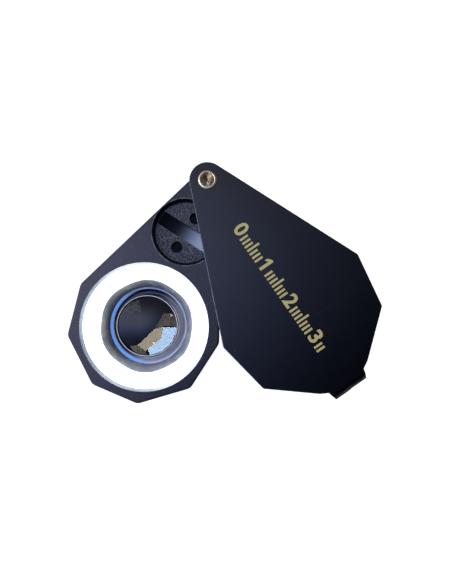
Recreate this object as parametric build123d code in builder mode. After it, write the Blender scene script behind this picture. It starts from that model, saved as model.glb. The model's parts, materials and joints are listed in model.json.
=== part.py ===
from build123d import *

import math
import os

# Folding jeweller's loupe with a ring light. A folded sheet-metal case holds a thick moulded head
# on a rivet; the head carries a cemented triplet, a ring of lamps and three button cells.
#
# Frame: millimetres, +Z up, lying on the case's back plate with its lamp side up. The origin is on
# the rivet's axis at the underside of the back plate, and +X is the case's centre line.
# The head stands swung out, turned clockwise from the case as seen from above.

# ---- Driving dimensions -------------------------------------------------------------------------

SWING_ANGLE = -58.0

# Heights of the stack, from the back plate up.
SHEET = 0.8
SIDE_GAP = 0.3
HEAD_THICKNESS = 15.2
COVER_THICKNESS = 1.6

HEAD_BOTTOM = SHEET + SIDE_GAP
SEAM = HEAD_BOTTOM + COVER_THICKNESS
FACE = HEAD_BOTTOM + HEAD_THICKNESS
PLATE_BOTTOM = FACE + SIDE_GAP
PLATE_TOP = PLATE_BOTTOM + SHEET

# Case outline, along and across its centre line.
CASE_END_RADIUS = 4.2
CASE_CORNERS = [(33.8, 18.9), (46.8, 16.7), (55.2, 6.7)]
CASE_CORNER_RADIUS = 0.8
NECK_END = 56.2
NECK_HALF_WIDTH = 4.9
BRIDGE_OUTSIDE = 58.9
BRIDGE_HALF_WIDTH = 4.25
BRIDGE_STEP = 0.4
BRIDGE_CORNER_CUT = 0.2
BRIDGE_STEP_FROM = -0.8
BRIDGE_STEP_TO = 0.2
BEND_RADIUS = 2.0
SHEET_EDGE_ROUNDING = 0.2

# Head outline, along and across its own centre line.
HEAD_END_RADIUS = 3.15
HEAD_CORNERS = [(33.6, 17.5), (45.7, 15.5), (53.8, 5.7)]
HEAD_CORNER_RADIUS = 2.2
HEAD_WALL = 1.5
HEAD_EDGE_ROUNDING = 0.45
SEAM_CHAMFER = 0.12

# Pivot.
RIVET_RADIUS = 1.45
RIVET_FLANGE_RADIUS = 2.2
RIVET_HEIGHT = 0.5
RIVET_TAIL_RADIUS = 2.2
TAIL_INSET = 0.05
SLEEVE_RADIUS = 2.0
PIVOT_CLEARANCE = 0.05
WASHER_RADIUS = 3.0
WASHER_THICKNESS = 0.2

# Lens and its barrel, measured from the lens axis.
LENS_ALONG = 36.9
LENS_RADIUS = 7.35
LENS_OUTER_CURVE = 20.0
LENS_INNER_CURVE = 14.0
LENS_CENTRE_THICKNESS = 9.7
MENISCUS_THICKNESS = 0.8
CEMENT_FILM = 0.02
LENS_BACK_DEPTH = 2.4
BARREL_RADIUS = 10.55
BARREL_THROAT_RADIUS = 9.35
BARREL_BORE = 8.35
BARREL_MOUTH_RADIUS = 10.9
BARREL_LIP_RADIUS = 11.25
BARREL_MOUTH_DEPTH = 3.4
BARREL_THROAT_DEPTH = 6.3
RING_FLOOR_DEPTH = 7.9
CLEAR_RADIUS = 7.2

# Ring light.
POCKET_MOUTH_RADIUS = 14.93
POCKET_RADIUS = 14.55
POCKET_MOUTH_DEPTH = 1.4
POCKET_FLOOR = 9.4
SHELF_THICKNESS = 1.2
POCKET_WALL_RADIUS = 15.6
DIFFUSER_INNER_RADIUS = 11.3
DIFFUSER_INNER_DEPTH = 3.5
DIFFUSER_THICKNESS = 1.1
BOARD_THICKNESS = 0.8
BOARD_INNER_RADIUS = 11.35
BOARD_OUTER_RADIUS = 14.35
LAMP_COUNT = 6
LAMP_CIRCLE = 12.85
LAMP_START = 169.0

# Battery compartment, measured from its own axis.
BATTERY_ALONG = 12.9
RECESS_RADIUS = 7.8
RECESS_FLOOR = 14.6
THREAD_RADIUS = 7.4
THREAD_PITCH = 0.5
CAP_RADIUS = 7.3
CAP_TOP = 14.9
CAP_THICKNESS = 1.9
SLOT_WIDTH = 3.3
SLOT_DEPTH = 1.4
SLOT_ANGLE = 81.2
SPANNER_HOLE_RADIUS = 1.35
SPANNER_HOLE_CIRCLE = 4.0
CELL_RADIUS = 5.8
CELL_HEIGHT = 3.05
CELL_BOTTOM = 3.6
CELL_BORE = 6.1
LEDGE = 12.6
TUBE_RADIUS = 7.4
TAB_WIDTH = 2.0
SPRING_TAB_ANGLE = 20.0
SIDE_TAB_ANGLE = -40.0
TAB_REACH = 9.0

# Back cover screws.
SCREW_SPOTS = [(25.2, 10.9), (25.2, -10.9), (45.6, 12.9), (45.6, -12.9)]
POST_RADIUS = 1.6
SCREW_RADIUS = 0.7
SCREW_HEAD_RADIUS = 1.25
SCREW_HEAD_HEIGHT = 0.6
SCREW_LENGTH = 5.0

# Slide switch in the head's side wall.
SWITCH_ALONG_WALL = 22.4
SWITCH_HEIGHT = 8.7
SWITCH_TRAVEL = 2.0
SWITCH_LENGTH = 6.0
SWITCH_DEPTH = 2.0
SWITCH_TALL = 3.5
STEM = 1.4

LEAD_RADIUS = 0.35

# ---- Planes and outlines ------------------------------------------------------------------------

swing = math.radians(SWING_ANGLE)
HEAD = Plane(origin=(0, 0, 0), x_dir=(math.cos(swing), math.sin(swing), 0), z_dir=(0, 0, 1))


def head_point(along, across, height=0.0):
    """A point given along and across the head's centre line, in the part's frame."""
    return HEAD.from_local_coords(Vector(along, across, height))


def section_at(along):
    """Upright plane through a point of the head's centre line: x runs along the head, y is up."""
    return Plane(origin=head_point(along, 0), x_dir=HEAD.x_dir, z_dir=-HEAD.y_dir)


def edge_angle(end_radius, corner):
    """Angle to the centre line of the edge that leaves the round end and meets the first corner."""
    reach = math.hypot(*corner)
    return math.atan2(corner[1], corner[0]) - math.asin(end_radius / reach)


def kite_outline(end_radius, corners, corner_radius, inset=0.0):
    """Symmetrical outline: a round end on the pivot, two long edges, then the far corners."""
    apex = -end_radius / math.sin(edge_angle(end_radius, corners[0]))
    mirrored = [(x, -y) for x, y in reversed(corners)]
    with BuildSketch() as outline:
        with BuildLine():
            Polyline((apex, 0), *corners, *mirrored, close=True)
        make_face()
        fillet(outline.vertices().sort_by(Axis.X)[0], end_radius)
        fillet(outline.vertices().sort_by(Axis.X)[2:], corner_radius)
        if inset:
            offset(amount=-inset, kind=Kind.INTERSECTION)
    return outline.sketch


head_outline = kite_outline(HEAD_END_RADIUS, HEAD_CORNERS, HEAD_CORNER_RADIUS)
head_room = kite_outline(HEAD_END_RADIUS, HEAD_CORNERS, HEAD_CORNER_RADIUS, HEAD_WALL)

lens_section = section_at(LENS_ALONG)
lens_axis = Axis(head_point(LENS_ALONG, 0), (0, 0, 1))
battery_section = section_at(BATTERY_ALONG)
battery_axis = Axis(head_point(BATTERY_ALONG, 0), (0, 0, 1))

# The switch's wall: x runs back towards the pivot, y is up, z points out of the head.
wall_angle = edge_angle(HEAD_END_RADIUS, HEAD_CORNERS[0])
wall_along = Vector(math.cos(wall_angle), math.sin(wall_angle))
wall_out = Vector(-math.sin(wall_angle), math.cos(wall_angle))
wall_spot = wall_out * HEAD_END_RADIUS + wall_along * SWITCH_ALONG_WALL
WALL = Plane(
    origin=head_point(wall_spot.X, wall_spot.Y, SWITCH_HEIGHT),
    x_dir=head_point(-wall_along.X, -wall_along.Y),
    z_dir=head_point(wall_out.X, wall_out.Y),
)


def wall_point(towards_lens, outward, height):
    """A point beside the switch, from the middle of its opening in the wall's outer face."""
    return WALL.from_local_coords(Vector(-towards_lens, height - SWITCH_HEIGHT, outward))


def tab_point(angle, distance, height):
    """A point at an angle and a distance from the battery's axis."""
    turn = math.radians(angle)
    along = BATTERY_ALONG + distance * math.cos(turn)
    return head_point(along, distance * math.sin(turn), height)


def ring_point(angle, distance, height):
    """A point at an angle and a distance from the lens axis."""
    turn = math.radians(angle)
    return head_point(LENS_ALONG + distance * math.cos(turn), distance * math.sin(turn), height)


# ---- Case ---------------------------------------------------------------------------------------

# One strip of sheet, folded twice at the bridge that joins the two plates.
plate_corners = [*CASE_CORNERS, (NECK_END, NECK_HALF_WIDTH)]
case_apex = -CASE_END_RADIUS / math.sin(edge_angle(CASE_END_RADIUS, CASE_CORNERS[0]))
BRIDGE_ROOT = BRIDGE_OUTSIDE - 2 * BEND_RADIUS

with BuildPart() as case_shell:
    with BuildSketch(Plane.XZ):
        with BuildLine():
            FilletPolyline(
                (BRIDGE_ROOT, 0),
                (BRIDGE_OUTSIDE, 0),
                (BRIDGE_OUTSIDE, PLATE_TOP),
                (BRIDGE_ROOT, PLATE_TOP),
                radius=BEND_RADIUS,
            )
            Line((BRIDGE_ROOT, PLATE_TOP), (BRIDGE_ROOT, PLATE_BOTTOM))
            FilletPolyline(
                (BRIDGE_ROOT, PLATE_BOTTOM),
                (BRIDGE_OUTSIDE - SHEET, PLATE_BOTTOM),
                (BRIDGE_OUTSIDE - SHEET, SHEET),
                (BRIDGE_ROOT, SHEET),
                radius=BEND_RADIUS - SHEET,
            )
            Line((BRIDGE_ROOT, SHEET), (BRIDGE_ROOT, 0))
        make_face()
    extrude(amount=NECK_HALF_WIDTH, both=True)
    # The bridge narrows from its neck to the fold, and one half of the fold stands a step further out.
    with BuildSketch():
        with BuildLine():
            Polyline(
                (BRIDGE_ROOT, -NECK_HALF_WIDTH),
                (NECK_END, -NECK_HALF_WIDTH),
                (BRIDGE_OUTSIDE - BRIDGE_CORNER_CUT, -BRIDGE_HALF_WIDTH),
                (BRIDGE_OUTSIDE, BRIDGE_STEP_FROM),
                (BRIDGE_OUTSIDE - BRIDGE_STEP, BRIDGE_STEP_TO),
                (BRIDGE_OUTSIDE - BRIDGE_STEP, BRIDGE_HALF_WIDTH),
                (NECK_END, NECK_HALF_WIDTH),
                (BRIDGE_ROOT, NECK_HALF_WIDTH),
                close=True,
            )
        make_face()
    extrude(amount=PLATE_TOP, mode=Mode.INTERSECT)
    with BuildSketch(Plane.XY, Plane.XY.offset(PLATE_BOTTOM)):
        with BuildLine():
            Polyline(
                (case_apex, 0),
                *plate_corners,
                *[(x, -y) for x, y in reversed(plate_corners)],
                close=True,
            )
        make_face()
    extrude(amount=SHEET)
    uprights = case_shell.edges().filter_by(Axis.Z)
    fillet(uprights.group_by(Axis.X)[0], CASE_END_RADIUS)
    corner_edges = case_shell.edges().filter_by(Axis.Z).filter_by(
        lambda edge: CASE_CORNERS[0][0] - 1 < edge.center().X < CASE_CORNERS[2][0] + 0.1
    )
    fillet(corner_edges, CASE_CORNER_RADIUS)
    for rim_height in (0, PLATE_TOP):
        rim = case_shell.edges().filter_by_position(Axis.Z, rim_height - 0.01, rim_height + 0.01)
        fillet(rim.filter_by(lambda edge: edge.center().X < CASE_CORNERS[2][0]), SHEET_EDGE_ROUNDING)
    with Locations((0, 0, PLATE_TOP)):
        Hole(RIVET_RADIUS)
    # The rivet's tail is set into a countersink, so that the back plate lies flat.
    with BuildSketch(Plane.XZ):
        with BuildLine():
            Polyline(
                (0, 0),
                (RIVET_TAIL_RADIUS + 2 * TAIL_INSET, 0),
                (RIVET_RADIUS, SHEET),
                (0, SHEET),
                close=True,
            )
        make_face()
    revolve(axis=Axis.Z, mode=Mode.SUBTRACT)
case_shell.part.label = "case_shell"

CUP_RADIUS = 1.49
CUP_EDGE = 0.2
CUP_DEPTH = 3.2
CUP_FLOOR_RADIUS = 0.25
TAIL_DIMPLE_DEPTH = 0.5
TAIL_DIMPLE_FLOOR_RADIUS = 0.9
TAIL_DIMPLE_MOUTH_RADIUS = 1.7
FLANGE_SIDE_INSET = 0.05
RIM_SHOULDER = (0.08, 0.14)
RIM_CREST_INSET = 0.38
RIM_INNER = (0.6, 0.04)
rivet_top = PLATE_TOP + RIVET_HEIGHT

with BuildPart() as pivot_rivet:
    with BuildSketch(Plane.XZ):
        with BuildLine():
            Polyline(
                (0, TAIL_DIMPLE_DEPTH),
                (TAIL_DIMPLE_FLOOR_RADIUS, TAIL_DIMPLE_DEPTH),
                (TAIL_DIMPLE_MOUTH_RADIUS, TAIL_INSET),
                (RIVET_TAIL_RADIUS, TAIL_INSET),
                (RIVET_RADIUS, SHEET),
                (RIVET_RADIUS, PLATE_TOP),
                (RIVET_FLANGE_RADIUS - FLANGE_SIDE_INSET, PLATE_TOP),
            )
            # Rolled rim, then the drill-pointed hole.
            ThreePointArc(
                (RIVET_FLANGE_RADIUS - FLANGE_SIDE_INSET, PLATE_TOP),
                (RIVET_FLANGE_RADIUS - RIM_SHOULDER[0], rivet_top - RIM_SHOULDER[1]),
                (RIVET_FLANGE_RADIUS - RIM_CREST_INSET, rivet_top),
            )
            ThreePointArc(
                (RIVET_FLANGE_RADIUS - RIM_CREST_INSET, rivet_top),
                (RIVET_FLANGE_RADIUS - RIM_INNER[0], rivet_top - RIM_INNER[1]),
                (CUP_RADIUS, rivet_top - CUP_EDGE),
            )
            Polyline(
                (CUP_RADIUS, rivet_top - CUP_EDGE),
                (CUP_FLOOR_RADIUS, rivet_top - CUP_DEPTH),
                (0, rivet_top - CUP_DEPTH),
                (0, TAIL_DIMPLE_DEPTH),
            )
        make_face()
    revolve(axis=Axis.Z)
pivot_rivet.part.label = "pivot_rivet"

with BuildPart() as pivot_sleeve:
    with BuildSketch(Plane.XY.offset(SHEET)):
        Circle(SLEEVE_RADIUS)
        Circle(RIVET_RADIUS, mode=Mode.SUBTRACT)
    extrude(amount=PLATE_BOTTOM - SHEET)
pivot_sleeve.part.label = "pivot_sleeve"

with BuildPart() as washer_front:
    with BuildSketch(Plane.XY.offset(PLATE_BOTTOM - WASHER_THICKNESS)):
        Circle(WASHER_RADIUS)
        Circle(SLEEVE_RADIUS, mode=Mode.SUBTRACT)
    extrude(amount=WASHER_THICKNESS)
washer_front.part.label = "washer_front"

with BuildPart() as washer_rear:
    with BuildSketch(Plane.XY.offset(SHEET)):
        Circle(WASHER_RADIUS)
        Circle(SLEEVE_RADIUS, mode=Mode.SUBTRACT)
    extrude(amount=WASHER_THICKNESS)
washer_rear.part.label = "washer_rear"

# ---- Head housing -------------------------------------------------------------------------------

ROOM_END = 28.0
ROOM_TOP = FACE - HEAD_WALL
SHELF_BOTTOM = POCKET_FLOOR - SHELF_THICKNESS
LEAD_HOLE_ANGLES = [150.0, 210.0]
LEAD_HOLE_CIRCLE = 13.2
SLIDER_SLOT_LENGTH = STEM + SWITCH_TRAVEL + 0.6
SLIDER_SLOT_TALL = STEM + 0.4
UPPER_TUBE_WALL = 0.8
TAB_NOTCH_HEIGHT = 1.4
TAB_NOTCH_CLEARANCE = 0.6
LEG_GROOVE_DEPTH = 0.5
LEG_GROOVE_CLEARANCE = 0.4
LEAD_HOLE_CLEARANCE = 0.25
UPPER_TUBE_RADIUS = THREAD_RADIUS + UPPER_TUBE_WALL

with BuildPart() as head_body:
    with BuildSketch(HEAD.offset(SEAM)):
        add(head_outline)
    extrude(amount=FACE - SEAM)
    fillet(head_body.faces().sort_by(Axis.Z)[-1].edges(), HEAD_EDGE_ROUNDING)
    chamfer(head_body.faces().sort_by(Axis.Z)[0].edges(), SEAM_CHAMFER)
    # Room under the lamp shelf, round the barrel and the screw posts.
    with BuildSketch(HEAD.offset(SEAM)):
        add(head_room)
        with Locations((BATTERY_ALONG + LENS_ALONG, 0)):
            Rectangle(2 * LENS_ALONG, 2 * LENS_ALONG, mode=Mode.INTERSECT)
        with Locations((BATTERY_ALONG, 0)):
            Circle(TUBE_RADIUS, mode=Mode.SUBTRACT)
        with Locations(*SCREW_SPOTS):
            Circle(POST_RADIUS, mode=Mode.SUBTRACT)
    extrude(amount=SHELF_BOTTOM - SEAM, mode=Mode.SUBTRACT)
    # Two pockets between the battery tube and the lamp ring's wall.
    with BuildSketch(HEAD.offset(SHELF_BOTTOM)):
        add(head_room)
        with Locations(((BATTERY_ALONG + ROOM_END) / 2, 0)):
            Rectangle(ROOM_END - BATTERY_ALONG, 2 * LENS_ALONG, mode=Mode.INTERSECT)
        with Locations((BATTERY_ALONG, 0)):
            Circle(UPPER_TUBE_RADIUS, mode=Mode.SUBTRACT)
        with Locations((LENS_ALONG, 0)):
            Circle(POCKET_WALL_RADIUS, mode=Mode.SUBTRACT)
    extrude(amount=ROOM_TOP - SHELF_BOTTOM, mode=Mode.SUBTRACT)
    # Lamp pocket with its tapered mouth, and the bore for the barrel.
    with BuildSketch(lens_section):
        with BuildLine():
            Polyline(
                (0, SHELF_BOTTOM),
                (BARREL_RADIUS, SHELF_BOTTOM),
                (BARREL_RADIUS, POCKET_FLOOR),
                (POCKET_RADIUS, POCKET_FLOOR),
                (POCKET_RADIUS, FACE - POCKET_MOUTH_DEPTH),
                (POCKET_MOUTH_RADIUS, FACE),
                (0, FACE),
                close=True,
            )
        make_face()
    revolve(axis=lens_axis, mode=Mode.SUBTRACT)
    # Battery bore: cells, ledge, thread and the recess round the cap.
    with BuildSketch(battery_section):
        with BuildLine():
            Polyline(
                (0, SEAM),
                (CELL_BORE, SEAM),
                (CELL_BORE, LEDGE),
                (THREAD_RADIUS, LEDGE),
                (THREAD_RADIUS, RECESS_FLOOR),
                (RECESS_RADIUS, RECESS_FLOOR),
                (RECESS_RADIUS, FACE),
                (0, FACE),
                close=True,
            )
        make_face()
    revolve(axis=battery_axis, mode=Mode.SUBTRACT)
    # Notches for the two contact tabs, and the groove for the side contact's leg.
    with BuildSketch(HEAD.offset(SEAM)):
        with Locations((BATTERY_ALONG, 0)):
            for tab_angle in (SPRING_TAB_ANGLE, SIDE_TAB_ANGLE):
                with PolarLocations(TUBE_RADIUS, 1, start_angle=tab_angle):
                    Rectangle(TUBE_RADIUS - CELL_BORE + TAB_WIDTH, TAB_WIDTH + TAB_NOTCH_CLEARANCE)
    extrude(amount=TAB_NOTCH_HEIGHT, mode=Mode.SUBTRACT)
    with BuildSketch(HEAD.offset(SEAM)):
        with Locations((BATTERY_ALONG, 0)):
            with PolarLocations(CELL_BORE, 1, start_angle=SIDE_TAB_ANGLE):
                Rectangle(2 * LEG_GROOVE_DEPTH, TAB_WIDTH + LEG_GROOVE_CLEARANCE)
    extrude(amount=LEDGE - SEAM, mode=Mode.SUBTRACT)
    # Pivot bore, screw holes, lead holes in the shelf, and the opening for the switch's slider.
    with BuildSketch(HEAD.offset(SEAM)):
        Circle(SLEEVE_RADIUS + PIVOT_CLEARANCE)
    extrude(amount=FACE - SEAM, mode=Mode.SUBTRACT)
    with BuildSketch(HEAD.offset(SEAM)):
        with Locations(*SCREW_SPOTS):
            Circle(SCREW_RADIUS)
    extrude(amount=SCREW_LENGTH, mode=Mode.SUBTRACT)
    with BuildSketch(HEAD.offset(SHELF_BOTTOM)):
        with Locations((LENS_ALONG, 0)):
            for hole_angle in LEAD_HOLE_ANGLES:
                with PolarLocations(LEAD_HOLE_CIRCLE, 1, start_angle=hole_angle):
                    Circle(LEAD_RADIUS + LEAD_HOLE_CLEARANCE)
    extrude(amount=SHELF_THICKNESS, mode=Mode.SUBTRACT)
    with BuildSketch(WALL):
        Rectangle(SLIDER_SLOT_LENGTH, SLIDER_SLOT_TALL)
    extrude(amount=-HEAD_WALL, mode=Mode.SUBTRACT)
head_body.part.label = "head_body"

COVER_BORE = BARREL_RADIUS + 0.1
SCREW_SEAT_DEPTH = SCREW_HEAD_HEIGHT + 0.1
SCREW_HOLE_CLEARANCE = 0.1
SCREW_SEAT_CLEARANCE = 0.15
CROSS_LENGTH = 1.5
CROSS_WIDTH = 0.35
CROSS_DEPTH = 0.4

with BuildPart() as back_cover:
    with BuildSketch(HEAD.offset(HEAD_BOTTOM)):
        add(head_outline)
    extrude(amount=COVER_THICKNESS)
    fillet(back_cover.faces().sort_by(Axis.Z)[0].edges(), HEAD_EDGE_ROUNDING)
    chamfer(back_cover.faces().sort_by(Axis.Z)[-1].edges(), SEAM_CHAMFER)
    with BuildSketch(HEAD.offset(HEAD_BOTTOM)):
        Circle(SLEEVE_RADIUS + PIVOT_CLEARANCE)
        with Locations((LENS_ALONG, 0)):
            Circle(COVER_BORE)
        with Locations(*SCREW_SPOTS):
            Circle(SCREW_RADIUS + SCREW_HOLE_CLEARANCE)
    extrude(amount=COVER_THICKNESS, mode=Mode.SUBTRACT)
    with BuildSketch(HEAD.offset(HEAD_BOTTOM)):
        with Locations(*SCREW_SPOTS):
            Circle(SCREW_HEAD_RADIUS + SCREW_SEAT_CLEARANCE)
    extrude(amount=SCREW_SEAT_DEPTH, mode=Mode.SUBTRACT)
back_cover.part.label = "back_cover"

SCREW_HEAD_BOTTOM = HEAD_BOTTOM + SCREW_SEAT_DEPTH - SCREW_HEAD_HEIGHT

with BuildPart() as cover_screws:
    with BuildSketch(HEAD.offset(SCREW_HEAD_BOTTOM)):
        with Locations(*SCREW_SPOTS):
            Circle(SCREW_HEAD_RADIUS)
    extrude(amount=SCREW_HEAD_HEIGHT)
    with BuildSketch(HEAD.offset(SCREW_HEAD_BOTTOM + SCREW_HEAD_HEIGHT)):
        with Locations(*SCREW_SPOTS):
            Circle(SCREW_RADIUS)
    extrude(amount=SCREW_LENGTH)
    # Cross recess in each head.
    with BuildSketch(HEAD.offset(SCREW_HEAD_BOTTOM)):
        with Locations(*SCREW_SPOTS):
            Rectangle(CROSS_LENGTH, CROSS_WIDTH)
            Rectangle(CROSS_WIDTH, CROSS_LENGTH)
    extrude(amount=CROSS_DEPTH, mode=Mode.SUBTRACT)
cover_screws.part.label = "cover_screws"

# ---- Lens, barrel and retaining ring ------------------------------------------------------------

LENS_BACK = HEAD_BOTTOM + LENS_BACK_DEPTH
LENS_FRONT = LENS_BACK + LENS_CENTRE_THICKNESS
LENS_MIDDLE = (LENS_BACK + LENS_FRONT) / 2


def sag(curve, radius):
    """How far a spherical surface falls away at a distance from its axis."""
    return curve - math.sqrt(curve**2 - radius**2)


def bulge(apex, curve, side):
    """Three points of a spherical surface's profile; side 1 bulges up and -1 bulges down."""
    return [(r, apex - side * sag(curve, r)) for r in (0, LENS_RADIUS / 2, LENS_RADIUS)]


def lens_element(lower, upper):
    """A lens between two profiles that both run out from the axis."""
    with BuildPart() as element:
        with BuildSketch(lens_section):
            with BuildLine():
                ThreePointArc(*lower)
                Line(lower[-1], upper[-1])
                ThreePointArc(*reversed(upper))
                Line(upper[0], lower[0])
            make_face()
        revolve(axis=lens_axis)
    return element.part


INNER_HALF = LENS_CENTRE_THICKNESS / 2 - MENISCUS_THICKNESS
lens_front = lens_element(
    bulge(LENS_MIDDLE + INNER_HALF + CEMENT_FILM, LENS_INNER_CURVE, 1),
    bulge(LENS_FRONT, LENS_OUTER_CURVE, 1),
)
lens_front.label = "lens_front"
lens_middle = lens_element(
    bulge(LENS_MIDDLE - INNER_HALF, LENS_INNER_CURVE, -1),
    bulge(LENS_MIDDLE + INNER_HALF, LENS_INNER_CURVE, 1),
)
lens_middle.label = "lens_middle"
lens_rear = lens_element(
    bulge(LENS_BACK, LENS_OUTER_CURVE, -1),
    bulge(LENS_MIDDLE - INNER_HALF - CEMENT_FILM, LENS_INNER_CURVE, -1),
)
lens_rear.label = "lens_rear"

RIM_SPACE = 0.1
SEAT_FLANGE_THICKNESS = 0.4
RING_THREAD_LENGTH = 1.8
RING_LIP_THICKNESS = 0.15
RING_BEVEL = 0.12
COLLAR_SHOULDER_RADIUS = 7.56
COLLAR_SHOULDER = 0.1
COLLAR_FOOT_RADIUS = 7.85
RING_NOTCH_ANGLE = 60
RING_NOTCH_SIZE = (0.9, 1.2)
RING_NOTCH_DEPTH = 0.3
BARREL_WALL = 0.85
BARREL_FIT = 0.05
BARREL_BACK_INSET = 0.1
LIP_THICKNESS = 0.6
LIP_TAPER = 0.6
LENS_SEAT = LENS_BACK + sag(LENS_OUTER_CURVE, LENS_RADIUS)
LENS_RIM = LENS_FRONT - sag(LENS_OUTER_CURVE, LENS_RADIUS)
SEAT_LIP = LENS_BACK + sag(LENS_OUTER_CURVE, CLEAR_RADIUS)
RING_FLOOR = FACE - RING_FLOOR_DEPTH
RING_BOTTOM = RING_FLOOR - RING_THREAD_LENGTH
RING_LIP = LENS_FRONT - sag(LENS_OUTER_CURVE, CLEAR_RADIUS) + RIM_SPACE
COLLAR_TOP = RING_LIP + RING_LIP_THICKNESS + RING_BEVEL
RING_GAP = 0.05
BARREL_OUTSIDE = BARREL_RADIUS - BARREL_FIT
BARREL_BACK = HEAD_BOTTOM + BARREL_BACK_INSET
BARREL_LIP = FACE - BARREL_MOUTH_DEPTH

with BuildPart() as lens_barrel:
    with BuildSketch(lens_section):
        with BuildLine():
            Polyline(
                (BARREL_OUTSIDE - BARREL_WALL, BARREL_BACK),
                (BARREL_OUTSIDE, BARREL_BACK),
                (BARREL_OUTSIDE, BARREL_LIP - LIP_THICKNESS - LIP_TAPER),
                (BARREL_LIP_RADIUS, BARREL_LIP - LIP_THICKNESS),
                (BARREL_LIP_RADIUS, BARREL_LIP),
                (BARREL_MOUTH_RADIUS, BARREL_LIP),
                (BARREL_THROAT_RADIUS, FACE - BARREL_THROAT_DEPTH),
                (BARREL_BORE, RING_FLOOR),
                (BARREL_BORE, RING_BOTTOM),
                (LENS_RADIUS + RING_GAP, RING_BOTTOM),
                (LENS_RADIUS + RING_GAP, LENS_SEAT - RIM_SPACE),
                (CLEAR_RADIUS, SEAT_LIP - RIM_SPACE),
                (CLEAR_RADIUS, SEAT_LIP - RIM_SPACE - SEAT_FLANGE_THICKNESS),
                close=True,
            )
        make_face()
    revolve(axis=lens_axis)
lens_barrel.part.label = "lens_barrel"

# A threaded ring with a tall thin collar, whose bevelled lip holds the lens's front edge.
with BuildPart() as retaining_ring:
    with BuildSketch(lens_section):
        with BuildLine():
            Polyline(
                (CLEAR_RADIUS, RING_LIP),
                (CLEAR_RADIUS, RING_LIP + RING_LIP_THICKNESS),
                (CLEAR_RADIUS + RING_BEVEL, COLLAR_TOP),
                (COLLAR_SHOULDER_RADIUS, COLLAR_TOP - COLLAR_SHOULDER),
                (COLLAR_FOOT_RADIUS, RING_FLOOR),
                (BARREL_BORE, RING_FLOOR),
                (BARREL_BORE, RING_BOTTOM),
                (LENS_RADIUS + RING_GAP, RING_BOTTOM),
                (LENS_RADIUS + RING_GAP, LENS_RIM + RIM_SPACE),
                close=True,
            )
        make_face()
    revolve(axis=lens_axis)
    # Two notches for a ring spanner.
    with BuildSketch(HEAD.offset(RING_FLOOR - RING_NOTCH_DEPTH)):
        with Locations((LENS_ALONG, 0)):
            with PolarLocations(BARREL_BORE, 2, start_angle=RING_NOTCH_ANGLE):
                Rectangle(*RING_NOTCH_SIZE)
    extrude(amount=RING_NOTCH_DEPTH, mode=Mode.SUBTRACT)
retaining_ring.part.label = "retaining_ring"

# ---- Ring light ---------------------------------------------------------------------------------

DIFFUSER_TOP = FACE - POCKET_MOUTH_DEPTH
DIFFUSER_LOW = FACE - DIFFUSER_INNER_DEPTH
DIFFUSER_RADIUS = POCKET_RADIUS - PIVOT_CLEARANCE

with BuildPart() as diffuser_ring:
    with BuildSketch(lens_section):
        with BuildLine():
            Polyline(
                (DIFFUSER_INNER_RADIUS, DIFFUSER_LOW),
                (DIFFUSER_RADIUS, DIFFUSER_TOP),
                (DIFFUSER_RADIUS, DIFFUSER_TOP - DIFFUSER_THICKNESS),
                (DIFFUSER_INNER_RADIUS, DIFFUSER_LOW - DIFFUSER_THICKNESS),
                close=True,
            )
        make_face()
    revolve(axis=lens_axis)
diffuser_ring.part.label = "diffuser_ring"

BOARD_TOP = POCKET_FLOOR + BOARD_THICKNESS
LAMP_SIZE = (2.8, 3.5)
LAMP_HEIGHT = 0.7
LAMP_WELL_RADIUS = 1.1
LAMP_WELL_DEPTH = 0.15
RESISTOR_SIZE = (1.25, 2.0)
RESISTOR_HEIGHT = 0.5
RESISTOR_COUNT = 3
RESISTOR_START = 30.0

with BuildPart() as led_board:
    with BuildSketch(HEAD.offset(POCKET_FLOOR)):
        with Locations((LENS_ALONG, 0)):
            Circle(BOARD_OUTER_RADIUS)
            Circle(BOARD_INNER_RADIUS, mode=Mode.SUBTRACT)
    extrude(amount=BOARD_THICKNESS)
led_board.part.label = "led_board"

with BuildPart() as leds:
    with BuildSketch(HEAD.offset(BOARD_TOP)):
        with Locations((LENS_ALONG, 0)):
            with PolarLocations(LAMP_CIRCLE, LAMP_COUNT, start_angle=LAMP_START):
                Rectangle(*LAMP_SIZE)
    extrude(amount=LAMP_HEIGHT)
    with BuildSketch(HEAD.offset(BOARD_TOP + LAMP_HEIGHT - LAMP_WELL_DEPTH)):
        with Locations((LENS_ALONG, 0)):
            with PolarLocations(LAMP_CIRCLE, LAMP_COUNT, start_angle=LAMP_START):
                Circle(LAMP_WELL_RADIUS)
    extrude(amount=LAMP_WELL_DEPTH, mode=Mode.SUBTRACT)
leds.part.label = "leds"

with BuildPart() as resistors:
    with BuildSketch(HEAD.offset(BOARD_TOP)):
        with Locations((LENS_ALONG, 0)):
            with PolarLocations(LAMP_CIRCLE, RESISTOR_COUNT, start_angle=RESISTOR_START):
                Rectangle(*RESISTOR_SIZE)
    extrude(amount=RESISTOR_HEIGHT)
resistors.part.label = "resistors"

# ---- Battery ------------------------------------------------------------------------------------

CAP_BOTTOM = CAP_TOP - CAP_THICKNESS
SLOT_FLOOR_RADIUS = 32.0
CAP_STUD_RADIUS = 1.0
CAP_STUD_HEIGHT = 0.2
GROOVE_DEPTH = 0.15
GROOVE_START = 0.6
CAP_CHAMFER = 0.15
SPANNER_HOLE_DEPTH = 1.2
STUD_CLEARANCE = 0.05

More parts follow.
